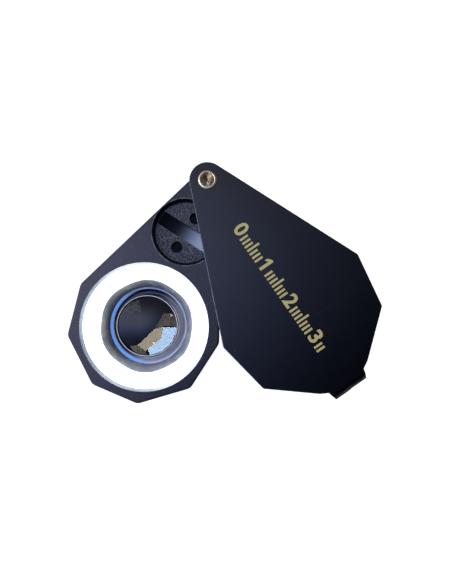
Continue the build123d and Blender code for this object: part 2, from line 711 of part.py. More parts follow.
with BuildPart() as battery_cap:
    with BuildSketch(HEAD.offset(CAP_BOTTOM)):
        with Locations((BATTERY_ALONG, 0)):
            Circle(CAP_RADIUS)
    extrude(amount=CAP_THICKNESS)
    chamfer(battery_cap.faces().sort_by(Axis.Z)[-1].edges(), CAP_CHAMFER)
    # Thread, as plain grooves.
    for turn_of_thread in range(2):
        groove = CAP_BOTTOM + THREAD_PITCH * (turn_of_thread + GROOVE_START)
        with BuildSketch(battery_section):
            with BuildLine():
                Polyline(
                    (CAP_RADIUS, groove - GROOVE_DEPTH),
                    (CAP_RADIUS - GROOVE_DEPTH, groove),
                    (CAP_RADIUS, groove + GROOVE_DEPTH),
                    close=True,
                )
            make_face()
        revolve(axis=battery_axis, mode=Mode.SUBTRACT)
    # Coin slot right across the cap, its floor milled to an arc.
    slot_turn = math.radians(SLOT_ANGLE)
    slot_along = head_point(math.cos(slot_turn), math.sin(slot_turn))
    slot_across = head_point(-math.sin(slot_turn), math.cos(slot_turn))
    slot_centre = head_point(BATTERY_ALONG, 0, CAP_TOP - SLOT_DEPTH + SLOT_FLOOR_RADIUS)
    with BuildSketch(Plane(origin=slot_centre, x_dir=slot_along, z_dir=slot_across)):
        Circle(SLOT_FLOOR_RADIUS)
    extrude(amount=SLOT_WIDTH / 2, both=True, mode=Mode.SUBTRACT)
    # Two blind spanner holes, on the line square to the slot.
    with BuildSketch(HEAD.offset(CAP_TOP)):
        with Locations((BATTERY_ALONG, 0)):
            with PolarLocations(SPANNER_HOLE_CIRCLE, 2, start_angle=SLOT_ANGLE + 90):
                Circle(SPANNER_HOLE_RADIUS)
    extrude(amount=-SPANNER_HOLE_DEPTH, mode=Mode.SUBTRACT)
    # Socket for the contact's stud.
    with BuildSketch(HEAD.offset(CAP_BOTTOM)):
        with Locations((BATTERY_ALONG, 0)):
            Circle(CAP_STUD_RADIUS + PIVOT_CLEARANCE)
    extrude(amount=CAP_STUD_HEIGHT + STUD_CLEARANCE, mode=Mode.SUBTRACT)
battery_cap.part.label = "battery_cap"

CONTACT_THICKNESS = 0.15
CONTACT_RADIUS = 6.9
CONTACT_GAP = 0.04
CONTACT_BOTTOM = CAP_BOTTOM - CONTACT_GAP - CONTACT_THICKNESS

with BuildPart() as cap_contact:
    with BuildSketch(HEAD.offset(CONTACT_BOTTOM)):
        with Locations((BATTERY_ALONG, 0)):
            Circle(CONTACT_RADIUS)
    extrude(amount=CONTACT_THICKNESS)
    with BuildSketch(HEAD.offset(CONTACT_BOTTOM)):
        with Locations((BATTERY_ALONG, 0)):
            Circle(CAP_STUD_RADIUS)
    extrude(amount=CAP_BOTTOM + CAP_STUD_HEIGHT - CONTACT_BOTTOM)
cap_contact.part.label = "cap_contact"


CELL_COVER_HEIGHT = 0.2
CELL_COVER_INSET = 1.1
CELL_TOP_ROUNDING = 0.25
CELL_BOTTOM_ROUNDING = 0.35


def button_cell(bottom):
    """A button cell with its can's rolled rim and the smaller negative cover at the bottom."""
    with BuildPart() as cell:
        with BuildSketch(HEAD.offset(bottom + CELL_COVER_HEIGHT)):
            with Locations((BATTERY_ALONG, 0)):
                Circle(CELL_RADIUS)
        extrude(amount=CELL_HEIGHT - CELL_COVER_HEIGHT)
        fillet(cell.faces().sort_by(Axis.Z)[-1].edges(), CELL_TOP_ROUNDING)
        fillet(cell.faces().sort_by(Axis.Z)[0].edges(), CELL_BOTTOM_ROUNDING)
        with BuildSketch(HEAD.offset(bottom)):
            with Locations((BATTERY_ALONG, 0)):
                Circle(CELL_RADIUS - CELL_COVER_INSET)
        extrude(amount=2 * CELL_COVER_HEIGHT)
    return cell.part


cells = {}
for number, name in enumerate(("cell_lower", "cell_middle", "cell_upper")):
    cells[name] = button_cell(CELL_BOTTOM + number * CELL_HEIGHT)
    cells[name].label = name

# Leaf spring under the cells: a disc with three raised fingers and a soldering tab.
SPRING_SHEET = 0.2
FINGER_COUNT = 3
FINGER_START = 110.0
FINGER_WIDTH = 1.2
FINGER_ROOT = (4.0, 4.6)
FINGER_TIP = (1.2, 2.2)
SPRING_INSET = 0.3
SPRING_TAB_START = 6.6
FINGER_TOP = CELL_BOTTOM - 0.05

with BuildPart() as battery_spring:
    with BuildSketch(HEAD.offset(SEAM)):
        with Locations((BATTERY_ALONG, 0)):
            Circle(CELL_BORE - SPRING_INSET)
            with PolarLocations(SPRING_TAB_START, 1, start_angle=SPRING_TAB_ANGLE):
                Rectangle(2 * (TAB_REACH - SPRING_TAB_START), TAB_WIDTH)
    extrude(amount=SPRING_SHEET)
    for finger in range(FINGER_COUNT):
        finger_angle = math.radians(FINGER_START + finger * 360 / FINGER_COUNT)
        finger_out = head_point(math.cos(finger_angle), math.sin(finger_angle))
        finger_side = head_point(math.sin(finger_angle), -math.cos(finger_angle))
        finger_plane = Plane(origin=battery_section.origin, x_dir=finger_out, z_dir=finger_side)
        with BuildSketch(finger_plane):
            with BuildLine():
                Polyline(
                    (FINGER_ROOT[1], SEAM + SPRING_SHEET / 2),
                    (FINGER_ROOT[1], SEAM + SPRING_SHEET),
                    (FINGER_TIP[1], FINGER_TOP),
                    (FINGER_TIP[0], FINGER_TOP),
                    (FINGER_TIP[0], FINGER_TOP - SPRING_SHEET),
                    (FINGER_TIP[1] - SPRING_SHEET / 2, FINGER_TOP - SPRING_SHEET),
                    (FINGER_ROOT[0], SEAM + SPRING_SHEET / 2),
                    close=True,
                )
            make_face()
        extrude(amount=FINGER_WIDTH / 2, both=True)
battery_spring.part.label = "battery_spring"

# Side contact: a strip up the bore's groove, bent over the ledge under the cap's contact.
SIDE_LEG_IN = CELL_BORE + 0.05
SIDE_SHEET = 0.25
SIDE_BOTTOM = SEAM + 0.05
SIDE_TOP_THICKNESS = 0.12
side_turn = math.radians(SIDE_TAB_ANGLE)
side_plane = Plane(
    origin=battery_section.origin,
    x_dir=head_point(math.cos(side_turn), math.sin(side_turn)),
    z_dir=head_point(math.sin(side_turn), -math.cos(side_turn)),
)

with BuildPart() as side_contact:
    with BuildSketch(side_plane):
        with BuildLine():
            Polyline(
                (TAB_REACH, SIDE_BOTTOM),
                (TAB_REACH, SIDE_BOTTOM + SIDE_SHEET),
                (SIDE_LEG_IN + SIDE_SHEET, SIDE_BOTTOM + SIDE_SHEET),
                (SIDE_LEG_IN + SIDE_SHEET, LEDGE),
                (CONTACT_RADIUS, LEDGE),
                (CONTACT_RADIUS, LEDGE + SIDE_TOP_THICKNESS),
                (SIDE_LEG_IN, LEDGE + SIDE_TOP_THICKNESS),
                (SIDE_LEG_IN, SIDE_BOTTOM),
                close=True,
            )
        make_face()
    extrude(amount=TAB_WIDTH / 2, both=True)
side_contact.part.label = "side_contact"

# ---- Switch -------------------------------------------------------------------------------------

SWITCH_GAP = 0.05
WINDOW_DEPTH = 0.8
PIN_RADIUS = 0.2
PIN_LENGTH = 0.8
PIN_SPACING = 2.0
SLIDER_ON = -SWITCH_TRAVEL / 2
KNOB_LENGTH = 3.2
KNOB_TALL = 2.4
KNOB_GAP = 0.1
KNOB_HEIGHT = 0.7
KNOB_CORNER = 0.5
WINDOW_CLEARANCE = 0.3
STEM_GAP = 0.1
THUMB_GROOVE_SPACING = 0.8
THUMB_GROOVE_WIDTH = 0.35
THUMB_GROOVE_DEPTH = 0.3
SWITCH_FRONT = -HEAD_WALL - SWITCH_GAP
STEM_START = SWITCH_FRONT - WINDOW_DEPTH + STEM_GAP

with BuildPart() as switch_body:
    with BuildSketch(WALL.offset(SWITCH_FRONT)):
        Rectangle(SWITCH_LENGTH, SWITCH_TALL)
    extrude(amount=-SWITCH_DEPTH)
    with BuildSketch(WALL.offset(SWITCH_FRONT)):
        Rectangle(STEM + SWITCH_TRAVEL + WINDOW_CLEARANCE, STEM + WINDOW_CLEARANCE)
    extrude(amount=-WINDOW_DEPTH, mode=Mode.SUBTRACT)
    # Three soldering pins under the can.
    pin_row = WALL.from_local_coords(Vector(0, -SWITCH_TALL / 2, SWITCH_FRONT - SWITCH_DEPTH / 2))
    with BuildSketch(Plane(origin=pin_row, x_dir=WALL.x_dir, z_dir=(0, 0, 1))):
        with GridLocations(PIN_SPACING, 1, 3, 1):
            Circle(PIN_RADIUS)
    extrude(amount=-PIN_LENGTH)
switch_body.part.label = "switch_body"

with BuildPart() as switch_slider:
    with BuildSketch(WALL.offset(STEM_START)):
        with Locations((SLIDER_ON, 0)):
            Rectangle(STEM, STEM)
    extrude(amount=KNOB_GAP - STEM_START)
    with BuildSketch(WALL.offset(KNOB_GAP)):
        with Locations((SLIDER_ON, 0)):
            RectangleRounded(KNOB_LENGTH, KNOB_TALL, KNOB_CORNER)
    extrude(amount=KNOB_HEIGHT)
    # Thumb grooves across the travel.
    with BuildSketch(WALL.offset(KNOB_GAP + KNOB_HEIGHT)):
        with Locations((SLIDER_ON, 0)):
            with GridLocations(THUMB_GROOVE_SPACING, 1, 3, 1):
                Rectangle(THUMB_GROOVE_WIDTH, KNOB_TALL)
    extrude(amount=-THUMB_GROOVE_DEPTH, mode=Mode.SUBTRACT)
switch_slider.part.label = "switch_slider"

# ---- Leads --------------------------------------------------------------------------------------


def lead(points, bend_radius):
    """An insulated lead: straight runs joined by tangent arcs, as a round tube."""
    with BuildPart() as wire:
        with BuildLine() as route:
            FilletPolyline(*points, radius=bend_radius)
        path = route.wire()
        with BuildSketch(Plane(origin=path @ 0, z_dir=path % 0)):
            Circle(LEAD_RADIUS)
        sweep()
    expected = math.pi * LEAD_RADIUS**2 * path.length
    print("lead length", round(path.length, 2), "volume ratio", round(wire.part.volume / expected, 4))
    return wire.part


PIN_END = SWITCH_HEIGHT - SWITCH_TALL / 2 - PIN_LENGTH
PIN_OUTWARD = SWITCH_FRONT - SWITCH_DEPTH / 2
BOARD_JOIN = POCKET_FLOOR - 0.02
TAB_TOP = SEAM + SPRING_SHEET + LEAD_RADIUS + 0.02
LOW_RUN = 4.6

spring_lead = lead(
    [
        tab_point(SPRING_TAB_ANGLE, TAB_REACH - 0.6, TAB_TOP),
        tab_point(SPRING_TAB_ANGLE + 14, TAB_REACH + 1.5, TAB_TOP + 0.2),
        wall_point(-PIN_SPACING, PIN_OUTWARD, LOW_RUN - 0.3),
        wall_point(-PIN_SPACING, PIN_OUTWARD, PIN_END),
    ],
    0.8,
)
spring_lead.label = "spring_lead"

switch_lead = lead(
    [
        wall_point(0, PIN_OUTWARD, PIN_END),
        wall_point(0.2, PIN_OUTWARD, LOW_RUN),
        ring_point(LEAD_HOLE_ANGLES[0], LEAD_HOLE_CIRCLE, LOW_RUN),
        ring_point(LEAD_HOLE_ANGLES[0], LEAD_HOLE_CIRCLE, BOARD_JOIN),
    ],
    0.9,
)
switch_lead.label = "switch_lead"

contact_lead = lead(
    [
        tab_point(SIDE_TAB_ANGLE, TAB_REACH - 0.6, SEAM + 0.07 + SIDE_SHEET + LEAD_RADIUS),
        tab_point(SIDE_TAB_ANGLE + 8, TAB_REACH + 3.0, LOW_RUN - 0.6),
        ring_point(LEAD_HOLE_ANGLES[1], LEAD_HOLE_CIRCLE, LOW_RUN),
        ring_point(LEAD_HOLE_ANGLES[1], LEAD_HOLE_CIRCLE, BOARD_JOIN),
    ],
    0.9,
)
contact_lead.label = "contact_lead"

# ---- Files --------------------------------------------------------------------------------------

finished = [
    case_shell.part,
    pivot_rivet.part,
    pivot_sleeve.part,
    washer_front.part,
    washer_rear.part,
    head_body.part,
    back_cover.part,
    cover_screws.part,
    lens_barrel.part,
    retaining_ring.part,
    lens_front,
    lens_middle,
    lens_rear,
    diffuser_ring.part,
    led_board.part,
    leds.part,
    resistors.part,
    battery_cap.part,
    cap_contact.part,
    *cells.values(),
    battery_spring.part,
    side_contact.part,
    switch_body.part,
    switch_slider.part,
    spring_lead,
    switch_lead,
    contact_lead,
]

os.makedirs("parts", exist_ok=True)
for piece in finished:
    export_step(piece, f"parts/{piece.label}.step")
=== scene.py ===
import json
import math

import bmesh
import bpy
from mathutils import Matrix, Vector


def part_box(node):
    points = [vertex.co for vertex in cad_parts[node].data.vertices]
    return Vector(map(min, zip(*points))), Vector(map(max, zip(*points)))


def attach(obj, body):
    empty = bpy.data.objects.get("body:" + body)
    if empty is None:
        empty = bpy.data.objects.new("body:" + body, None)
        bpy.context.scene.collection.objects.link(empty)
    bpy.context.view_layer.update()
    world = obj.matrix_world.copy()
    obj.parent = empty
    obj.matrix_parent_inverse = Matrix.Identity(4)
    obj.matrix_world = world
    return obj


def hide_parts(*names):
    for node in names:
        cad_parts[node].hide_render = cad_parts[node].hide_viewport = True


# Looks of a folding jeweller's loupe with a ring light. Everything is in metres in the CAD frame:
# +Z up, the origin on the rivet's axis, +X along the case. The head is swung out by SWING.

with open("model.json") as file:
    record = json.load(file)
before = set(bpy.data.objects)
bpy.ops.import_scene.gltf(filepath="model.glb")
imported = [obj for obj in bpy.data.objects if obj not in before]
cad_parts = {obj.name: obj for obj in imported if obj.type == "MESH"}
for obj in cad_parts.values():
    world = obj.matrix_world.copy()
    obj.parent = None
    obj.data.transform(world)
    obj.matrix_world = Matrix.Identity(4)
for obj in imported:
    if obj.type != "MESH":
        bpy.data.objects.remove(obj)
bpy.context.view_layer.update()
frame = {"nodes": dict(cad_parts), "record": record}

MM = 0.001
SWING = math.radians(-58)


def middle(node):
    """The middle of a CAD node's box."""
    low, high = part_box(node)
    return (low + high) / 2


LENS_AXIS = middle("lens_barrel")
BATTERY_AXIS = middle("battery_cap")
PLATE_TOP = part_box("case_shell")[1].z
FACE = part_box("head_body")[1].z
CAP_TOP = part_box("battery_cap")[1].z
COLLAR_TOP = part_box("retaining_ring")[1].z
BARREL_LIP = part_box("lens_barrel")[1].z
LAMP_TURN = SWING + math.radians(169)
LAMPS = 6
SLOT_TURN = SWING + math.radians(81.2)

# EAST is the side of the room with the bright window, and SOUTH is square to it.
EAST = Vector((0.566, 0.824, 0))
SOUTH = Vector((0.824, -0.566, 0))
# Painted light round the lens: the step is painted blue and glows on its west, and the step and collar are
# painted pale on the other side.
BLUE_SIDE = SOUTH * 0.17 - EAST * 0.98
PAINTED_LIGHT_SIDE = EAST * 0.8 + SOUTH * 0.6

# Radii and heights of the head's round details that the materials pick out.
POCKET_WALL = (14.45 * MM, 15.0 * MM)
RECESS_FLOOR_EDGE = (7.7 * MM, 7.82 * MM)
RECESS_BRINK = (7.68 * MM, 7.98 * MM)
STEP_TOP = (9.97 * MM, 10.03 * MM)
STEP_FOOT = (8.2 * MM, 8.3 * MM)
STEP_BLUE = (8.85 * MM, 9.30 * MM)
STEP_BRINK = (9.35 * MM, 9.60 * MM)
LIP_WAVE = 0.15 * MM
LIP_EDGE = 11.03 * MM
LAMP_CIRCLE = 12.85 * MM
LAMP_SPREAD = 1.9 * MM
SLOT_HALF = (1.60 * MM, 1.66 * MM)
BOARD_TRACKS = ((11.7 * MM, 12.0 * MM), (13.7 * MM, 14.0 * MM))

# ---- Node helpers -------------------------------------------------------------------------------


class Shade:
    """A material under construction, with short names for the nodes used again and again."""

    def __init__(self, name):
        self.material = bpy.data.materials.new(name)
        self.material.use_nodes = True
        self.tree = self.material.node_tree
        self.tree.nodes.clear()
        self.output = self.add("ShaderNodeOutputMaterial")
        self.bsdf = self.add("ShaderNodeBsdfPrincipled")
        self.join(self.bsdf.outputs[0], self.output.inputs["Surface"])
        self.place = self.add("ShaderNodeTexCoord").outputs["Object"]

    def add(self, kind, **settings):
        node = self.tree.nodes.new(kind)
        for name, value in settings.items():
            setattr(node, name, value)
        return node

    def join(self, value, socket):
        """Links a socket to a socket, or sets a plain value on it."""
        if isinstance(value, bpy.types.NodeSocket):
            self.tree.links.new(value, socket)
        elif isinstance(value, (tuple, list)) and len(value) == 3 and len(socket.default_value) == 4:
            socket.default_value = (*value, 1)
        else:
            socket.default_value = value

    def set(self, **inputs):
        for name, value in inputs.items():
            self.join(value, self.bsdf.inputs[name.replace("_", " ")])

    def math(self, operation, a, b=0.0, c=0.0):
        node = self.add("ShaderNodeMath", operation=operation)
        for socket, value in zip(node.inputs, (a, b, c)):
            self.join(value, socket)
        return node.outputs[0]

    def vector(self, operation, a, b=(0, 0, 0)):
        node = self.add("ShaderNodeVectorMath", operation=operation)
        self.join(a, node.inputs[0])
        self.join(b, node.inputs[1])
        return node

    def step(self, value, low, high, start=0.0, end=1.0):
        """A smooth change from start to end while value goes from low to high."""
        node = self.add("ShaderNodeMapRange", interpolation_type="SMOOTHSTEP")
        names = ("Value", "From Min", "From Max", "To Min", "To Max")
        for name, setting in zip(names, (value, low, high, start, end)):
            self.join(setting, node.inputs[name])
        return node.outputs[0]

    def within(self, value, low, high, blur):
        """1 between low and high, falling to 0 over blur outside them."""
        rise = self.step(value, low - blur, low)
        drop = self.step(value, high, high + blur, 1.0, 0.0)
        return self.math("MULTIPLY", rise, drop)

    def noise(self, size, detail=3.0, roughness=0.55, place=None, stretch=None, distortion=0.0):
        """Noise whose features are about size millimetres across, optionally stretched per axis."""
        place = place or self.place
        if stretch:
            mapping = self.add("ShaderNodeMapping")
            self.join(place, mapping.inputs["Vector"])
            mapping.inputs["Scale"].default_value = stretch
            place = mapping.outputs[0]
        node = self.add("ShaderNodeTexNoise")
        self.join(place, node.inputs["Vector"])
        node.inputs["Scale"].default_value = 1 / (size * MM)
        node.inputs["Detail"].default_value = detail
        node.inputs["Roughness"].default_value = roughness
        node.inputs["Distortion"].default_value = distortion
        return node.outputs["Fac"]

    def cells(self, size):
        """Distance from the nearest of points scattered about size millimetres apart."""
        node = self.add("ShaderNodeTexVoronoi", feature="F1")
        self.join(self.place, node.inputs["Vector"])
        node.inputs["Scale"].default_value = 1 / (size * MM)
        return node.outputs["Distance"]

    def lines(self, distance, size, detail=3.0):
        """Fine turned lines that vary only with a distance."""
        node = self.add("ShaderNodeTexNoise", noise_dimensions="1D")
        self.join(distance, node.inputs["W"])
        node.inputs["Scale"].default_value = 1 / (size * MM)
        node.inputs["Detail"].default_value = detail
        return node.outputs["Fac"]

    def mix(self, factor, a, b):
        node = self.add("ShaderNodeMix", data_type="RGBA")
        self.join(factor, node.inputs["Factor"])
        self.join(a, node.inputs[6])
        self.join(b, node.inputs[7])
        return node.outputs[2]

    def blend(self, factor, a, b):
        node = self.add("ShaderNodeMix", data_type="FLOAT")
        self.join(factor, node.inputs["Factor"])
        self.join(a, node.inputs[2])
        self.join(b, node.inputs[3])
        return node.outputs[0]

    def bump(self, height, depth, under=None):
        """Bump of that many millimetres between heights 0 and 1."""
        node = self.add("ShaderNodeBump")
        self.join(height, node.inputs["Height"])
        node.inputs["Distance"].default_value = depth * MM
        if under:
            self.join(under, node.inputs["Normal"])
        return node.outputs[0]

    def parts(self, vector):
        node = self.add("ShaderNodeSeparateXYZ")
        self.join(vector, node.inputs[0])
        return node.outputs

    def radius(self, axis):
        """Distance from an upright axis."""
        off = self.vector("SUBTRACT", self.place, tuple(axis)).outputs[0]
        flat = self.vector("MULTIPLY", off, (1, 1, 0)).outputs[0]
        return self.vector("LENGTH", flat).outputs["Value"]

    def facing(self):
        """The surface normal's parts. They are the room's, but no joint tips the part, so up stays up."""
        geometry = self.add("ShaderNodeNewGeometry")
        return self.parts(geometry.outputs["Normal"])


def wear_along_edges(shade, amount):
    """A broken mask on rounded edges, where the surface faces neither up nor sideways."""
    tilt = shade.math("ABSOLUTE", shade.facing()[2])
    edge = shade.within(tilt, 0.25, 0.93, 0.06)
    painted_light = shade.step(shade.noise(1.6, 4), 0.5, 0.72)
    return shade.math("MULTIPLY", shade.math("MULTIPLY", edge, painted_light), amount)


# ---- Materials of the case ----------------------------------------------------------------------


def case_paint():
    """Semi-gloss black stoving paint: faint orange peel, rubbed patches, a few scratches and specks."""
    s = Shade("case_paint")
    height = s.parts(s.place)[2]
    patches = s.noise(7.0, 3)
    colour = s.mix(patches, (0.0006, 0.0007, 0.0012), (0.0014, 0.0016, 0.0026))
    # Hairline scratches, only in some places and in two directions.
    turned = s.add("ShaderNodeMapping")
    s.join(s.place, turned.inputs["Vector"])
    turned.inputs["Rotation"].default_value = (0, 0, math.radians(38))
    across = s.noise(0.9, 1, place=turned.outputs[0], stretch=(0.05, 3.2, 1))
    along = s.noise(1.1, 1, stretch=(3.0, 0.06, 1))
    where = s.step(s.noise(9.0, 1), 0.52, 0.66)
    scratch = s.math("MAXIMUM", s.step(across, 0.735, 0.76), s.step(along, 0.745, 0.77))
    scratch = s.math("MULTIPLY", scratch, where)
    specks = s.math(
        "MULTIPLY",
        s.step(s.cells(2.6), 0.035, 0.06, 1.0, 0.0),
        s.step(s.noise(5.0, 1), 0.56, 0.6),
    )
    colour = s.mix(s.math("MULTIPLY", scratch, 0.35), colour, (0.030, 0.032, 0.038))
    colour = s.mix(s.math("MULTIPLY", specks, 0.8), colour, (0.10, 0.10, 0.11))
    colour = s.mix(wear_along_edges(s, 0.8), colour, (0.055, 0.058, 0.066))
    # Painted highlight: the plate's long edge beside the head is painted pale and bluish where it faces
    # west.
    normal = s.vector("DOT_PRODUCT", s.add("ShaderNodeNewGeometry").outputs["Normal"], tuple(-EAST))
    on_edge = s.within(s.facing()[2], 0.15, 0.93, 0.05)
    edge_highlight = s.math("MULTIPLY", on_edge, s.step(normal.outputs["Value"], 0.2, 0.5))
    edge_highlight = s.math("MULTIPLY", edge_highlight, s.step(height, FACE, PLATE_TOP - 0.5 * MM))
    edge_highlight = s.math("MULTIPLY", edge_highlight, s.step(s.noise(1.3, 3), 0.30, 0.55, 0.35, 1.0))
    colour = s.mix(edge_highlight, colour, (0.22, 0.25, 0.31))
    rough = s.blend(s.noise(2.4, 4), 0.18, 0.27)
    rough = s.math("ADD", rough, s.math("MULTIPLY", scratch, 0.12))
    bump = s.bump(s.noise(0.55, 2), 0.0016)
    bump = s.bump(s.noise(0.11, 2), 0.0007, bump)
    bump = s.bump(scratch, -0.002, bump)
    s.set(Base_Color=colour, Roughness=rough, Normal=bump, IOR=1.5)
    return s.material


def rivet_metal():
    """Nickel-washed brass, turned and then rubbed bright, brown where polish never reaches."""
    s = Shade("rivet_brass")
    r = s.radius((0, 0, 0))
    height = s.parts(s.place)[2]
    deep = s.within(r, 1.36 * MM, 1.60 * MM, 0.10 * MM)
    tarnish = s.math("MULTIPLY", deep, s.step(s.noise(0.8, 3), 0.35, 0.7, 0.15, 0.60))
    colour = s.mix(s.noise(0.6, 3), (0.56, 0.48, 0.29), (0.72, 0.64, 0.43))
    colour = s.mix(s.step(r, 1.30 * MM, 1.5 * MM), (0.95, 0.88, 0.78), colour)
    colour = s.mix(tarnish, colour, (0.20, 0.13, 0.07))
    under = s.step(height, 17.0 * MM, 17.35 * MM, 1.0, 0.0)
    colour = s.mix(s.math("MULTIPLY", under, s.noise(0.5, 4)), colour, (0.32, 0.27, 0.20))
    turned = s.lines(r, 0.11)
    rough = s.blend(turned, 0.16, 0.30)
    s.set(Base_Color=colour, Metallic=1.0, Roughness=rough, Normal=s.bump(turned, 0.004))
    # Turning marks run round the axis and spread the highlights across them.
    s.set(Anisotropic=0.6, Tangent=s.add("ShaderNodeTangent", direction_type="RADIAL", axis="Z").outputs[0])
    return s.material


def plain_metal(name, light, dark, rough, grain=0.35, axis=None):
    """Turned or rolled metal with fine lines and dull patches."""
    s = Shade(name)
    fine = s.lines(s.radius(axis), 0.09) if axis else s.noise(grain, 4, stretch=(1, 9, 1))
    colour = s.mix(s.noise(1.4, 4), light, dark)
    value = s.blend(s.math("MULTIPLY", fine, s.noise(1.0, 2)), rough * 0.75, rough * 1.6)
    s.set(Base_Color=colour, Metallic=1.0, Roughness=value, Normal=s.bump(fine, 0.003))
    return s.material


# ---- Materials of the head ----------------------------------------------------------------------


def head_plastic():
    """Satin black moulding with a fine spark-eroded grain, rubbed paler along its edges."""
    s = Shade("head_plastic")
    height = s.parts(s.place)[2]
    grain = s.noise(0.16, 2, 0.6)
    coarse = s.noise(0.42, 3)
    tone = s.noise(6.0, 2)
    colour = s.mix(tone, (0.0030, 0.0026, 0.0042), (0.0080, 0.0062, 0.0074))
    colour = s.mix(s.math("MULTIPLY", s.step(grain, 0.50, 0.70), 0.7), colour, (0.034, 0.031, 0.040))
    fine_specks = s.step(s.noise(0.46, 2, 0.7), 0.56, 0.70)
    specks = s.math("MULTIPLY", fine_specks, s.step(s.noise(4.5, 2), 0.35, 0.65))
    colour = s.mix(s.math("MULTIPLY", specks, 0.6), colour, (0.115, 0.092, 0.090))
    # Painted light: the side away from the case is painted paler and warmer, its grain too, as if more
    # light falls there.
    off = s.vector("SUBTRACT", s.place, tuple(LENS_AXIS)).outputs[0]
    out = s.vector("DOT_PRODUCT", off, tuple(-EAST)).outputs["Value"]
    painted_lit_side = s.step(out, -6.0 * MM, 12.0 * MM)
    colour = s.mix(s.math("MULTIPLY", painted_lit_side, 0.75), colour, (0.052, 0.034, 0.033))
    painted_light = s.math("MULTIPLY", s.step(grain, 0.46, 0.66), painted_lit_side)
    colour = s.mix(s.math("MULTIPLY", painted_light, 0.6), colour, (0.115, 0.090, 0.092))
    colour = s.mix(wear_along_edges(s, 0.7), colour, (0.105, 0.100, 0.105))
    # The lamp pocket's wall is painted bluish: painted light from the lamp ring.
    pocket = s.math(
        "MULTIPLY",
        s.within(s.radius(LENS_AXIS), *POCKET_WALL, 0.04 * MM),
        s.step(height, FACE - 0.12 * MM, FACE - 0.02 * MM, 1.0, 0.0),
    )
    colour = s.mix(pocket, colour, (0.030, 0.075, 0.150))
    # Painted highlight: the battery recess's edge is painted pale.
    brink = s.math(
        "MULTIPLY",
        s.within(s.radius(BATTERY_AXIS), *RECESS_BRINK, 0.05 * MM),
        s.step(height, FACE - 0.30 * MM, FACE - 0.10 * MM),
    )
    brink = s.math("MULTIPLY", brink, s.step(s.noise(1.5, 3), 0.42, 0.60))
    colour = s.mix(brink, colour, (0.20, 0.20, 0.22))
    # The battery recess is darker: its floor is smooth and in shade.
    recess = s.math(
        "MULTIPLY",
        s.step(s.radius(BATTERY_AXIS), *RECESS_FLOOR_EDGE, 1.0, 0.0),
        s.step(height, FACE - 0.4 * MM, FACE - 0.15 * MM, 1.0, 0.0),
    )
    colour = s.mix(recess, colour, (0.001, 0.001, 0.0012))
    rough = s.blend(coarse, 0.24, 0.36)
    bump = s.bump(coarse, 0.010)
    bump = s.bump(grain, 0.020, bump)
    metallic = s.math("MULTIPLY", recess, 0.85)
    s.set(Base_Color=colour, Roughness=rough, Normal=bump, IOR=1.54, Metallic=metallic)
    return s.material


def cap_plastic():
    """Coarse spark-eroded land with painted highlights on its edges, a coin slot with a painted sheen on
    its floor, and two deep spanner holes painted dark as shade.
    """
    s = Shade("cap_plastic")
    height = s.parts(s.place)[2]
    land = s.step(height, CAP_TOP - 0.08 * MM, CAP_TOP - 0.02 * MM)
    off = s.vector("SUBTRACT", s.place, tuple(BATTERY_AXIS)).outputs[0]
    across_slot = (-math.sin(SLOT_TURN), math.cos(SLOT_TURN), 0)
    aside = s.math("ABSOLUTE", s.vector("DOT_PRODUCT", off, across_slot).outputs["Value"])
    slot = s.math(
        "MULTIPLY",
        s.step(aside, *SLOT_HALF, 1.0, 0.0),
        s.step(height, CAP_TOP - 0.25 * MM, CAP_TOP - 0.15 * MM, 1.0, 0.0),
    )
    inside = s.step(s.radius(BATTERY_AXIS), 7.0 * MM, 7.15 * MM, 1.0, 0.0)
    slot = s.math("MULTIPLY", slot, inside)
    low = s.math("MULTIPLY", s.step(height, CAP_TOP - 0.12 * MM, CAP_TOP - 0.08 * MM, 1.0, 0.0), inside)
    hole = s.math("MULTIPLY", low, s.math("SUBTRACT", 1.0, slot))
    speck = s.noise(0.28, 4, 0.75)
    light = s.math("MULTIPLY", s.step(speck, 0.45, 0.62), land)
    colour = s.mix(s.noise(3.0, 2), (0.0110, 0.0105, 0.0115), (0.0190, 0.0180, 0.0190))
    colour = s.mix(light, colour, (0.27, 0.265, 0.27))
    # Painted highlight: a pale band just under the top of the land's edges.
    rim = s.math("MULTIPLY", s.within(height, CAP_TOP - 0.16 * MM, CAP_TOP - 0.03 * MM, 0.02 * MM), 0.5)
    colour = s.mix(rim, colour, (0.10, 0.10, 0.115))
    # Painted reflection: the slot's floor is painted bright towards the pivot and black at its far end.
    along_slot = (math.cos(SLOT_TURN), math.sin(SLOT_TURN), 0)
    along = s.vector("DOT_PRODUCT", off, along_slot).outputs["Value"]
    painted_sheen = s.math("POWER", s.step(along, -4.2 * MM, 5.2 * MM), 1.6)
    bright = s.mix(s.noise(0.9, 3, stretch=(1, 0.3, 1)), (0.20, 0.235, 0.24), (0.27, 0.31, 0.31))
    painted_light = s.mix(painted_sheen, (0.004, 0.004, 0.006), bright)
    colour = s.mix(slot, colour, painted_light)
    # Painted shade: the spanner holes are painted near black.
    colour = s.mix(hole, colour, (0.0015, 0.0015, 0.002))
    metallic = s.math("ADD", s.math("MULTIPLY", slot, 0.85), s.math("MULTIPLY", hole, 0.9))
    rough = s.blend(land, s.blend(s.noise(0.5, 3), 0.20, 0.30), s.blend(speck, 0.45, 0.65))
    depth = s.math("MULTIPLY", speck, s.blend(land, 0.05, 1.0))
    s.set(Base_Color=colour, Metallic=metallic, Roughness=rough, Normal=s.bump(depth, 0.075), IOR=1.5)
    return s.material


def lamp_wave(s):
    """1 over each lamp and -1 midway between two, round the lens axis."""
    off = s.parts(s.vector("SUBTRACT", s.place, tuple(LENS_AXIS)).outputs[0])
    angle = s.math("SUBTRACT", s.math("ARCTAN2", off[1], off[0]), LAMP_TURN)
    return s.math("COSINE", s.math("MULTIPLY", angle, LAMPS))


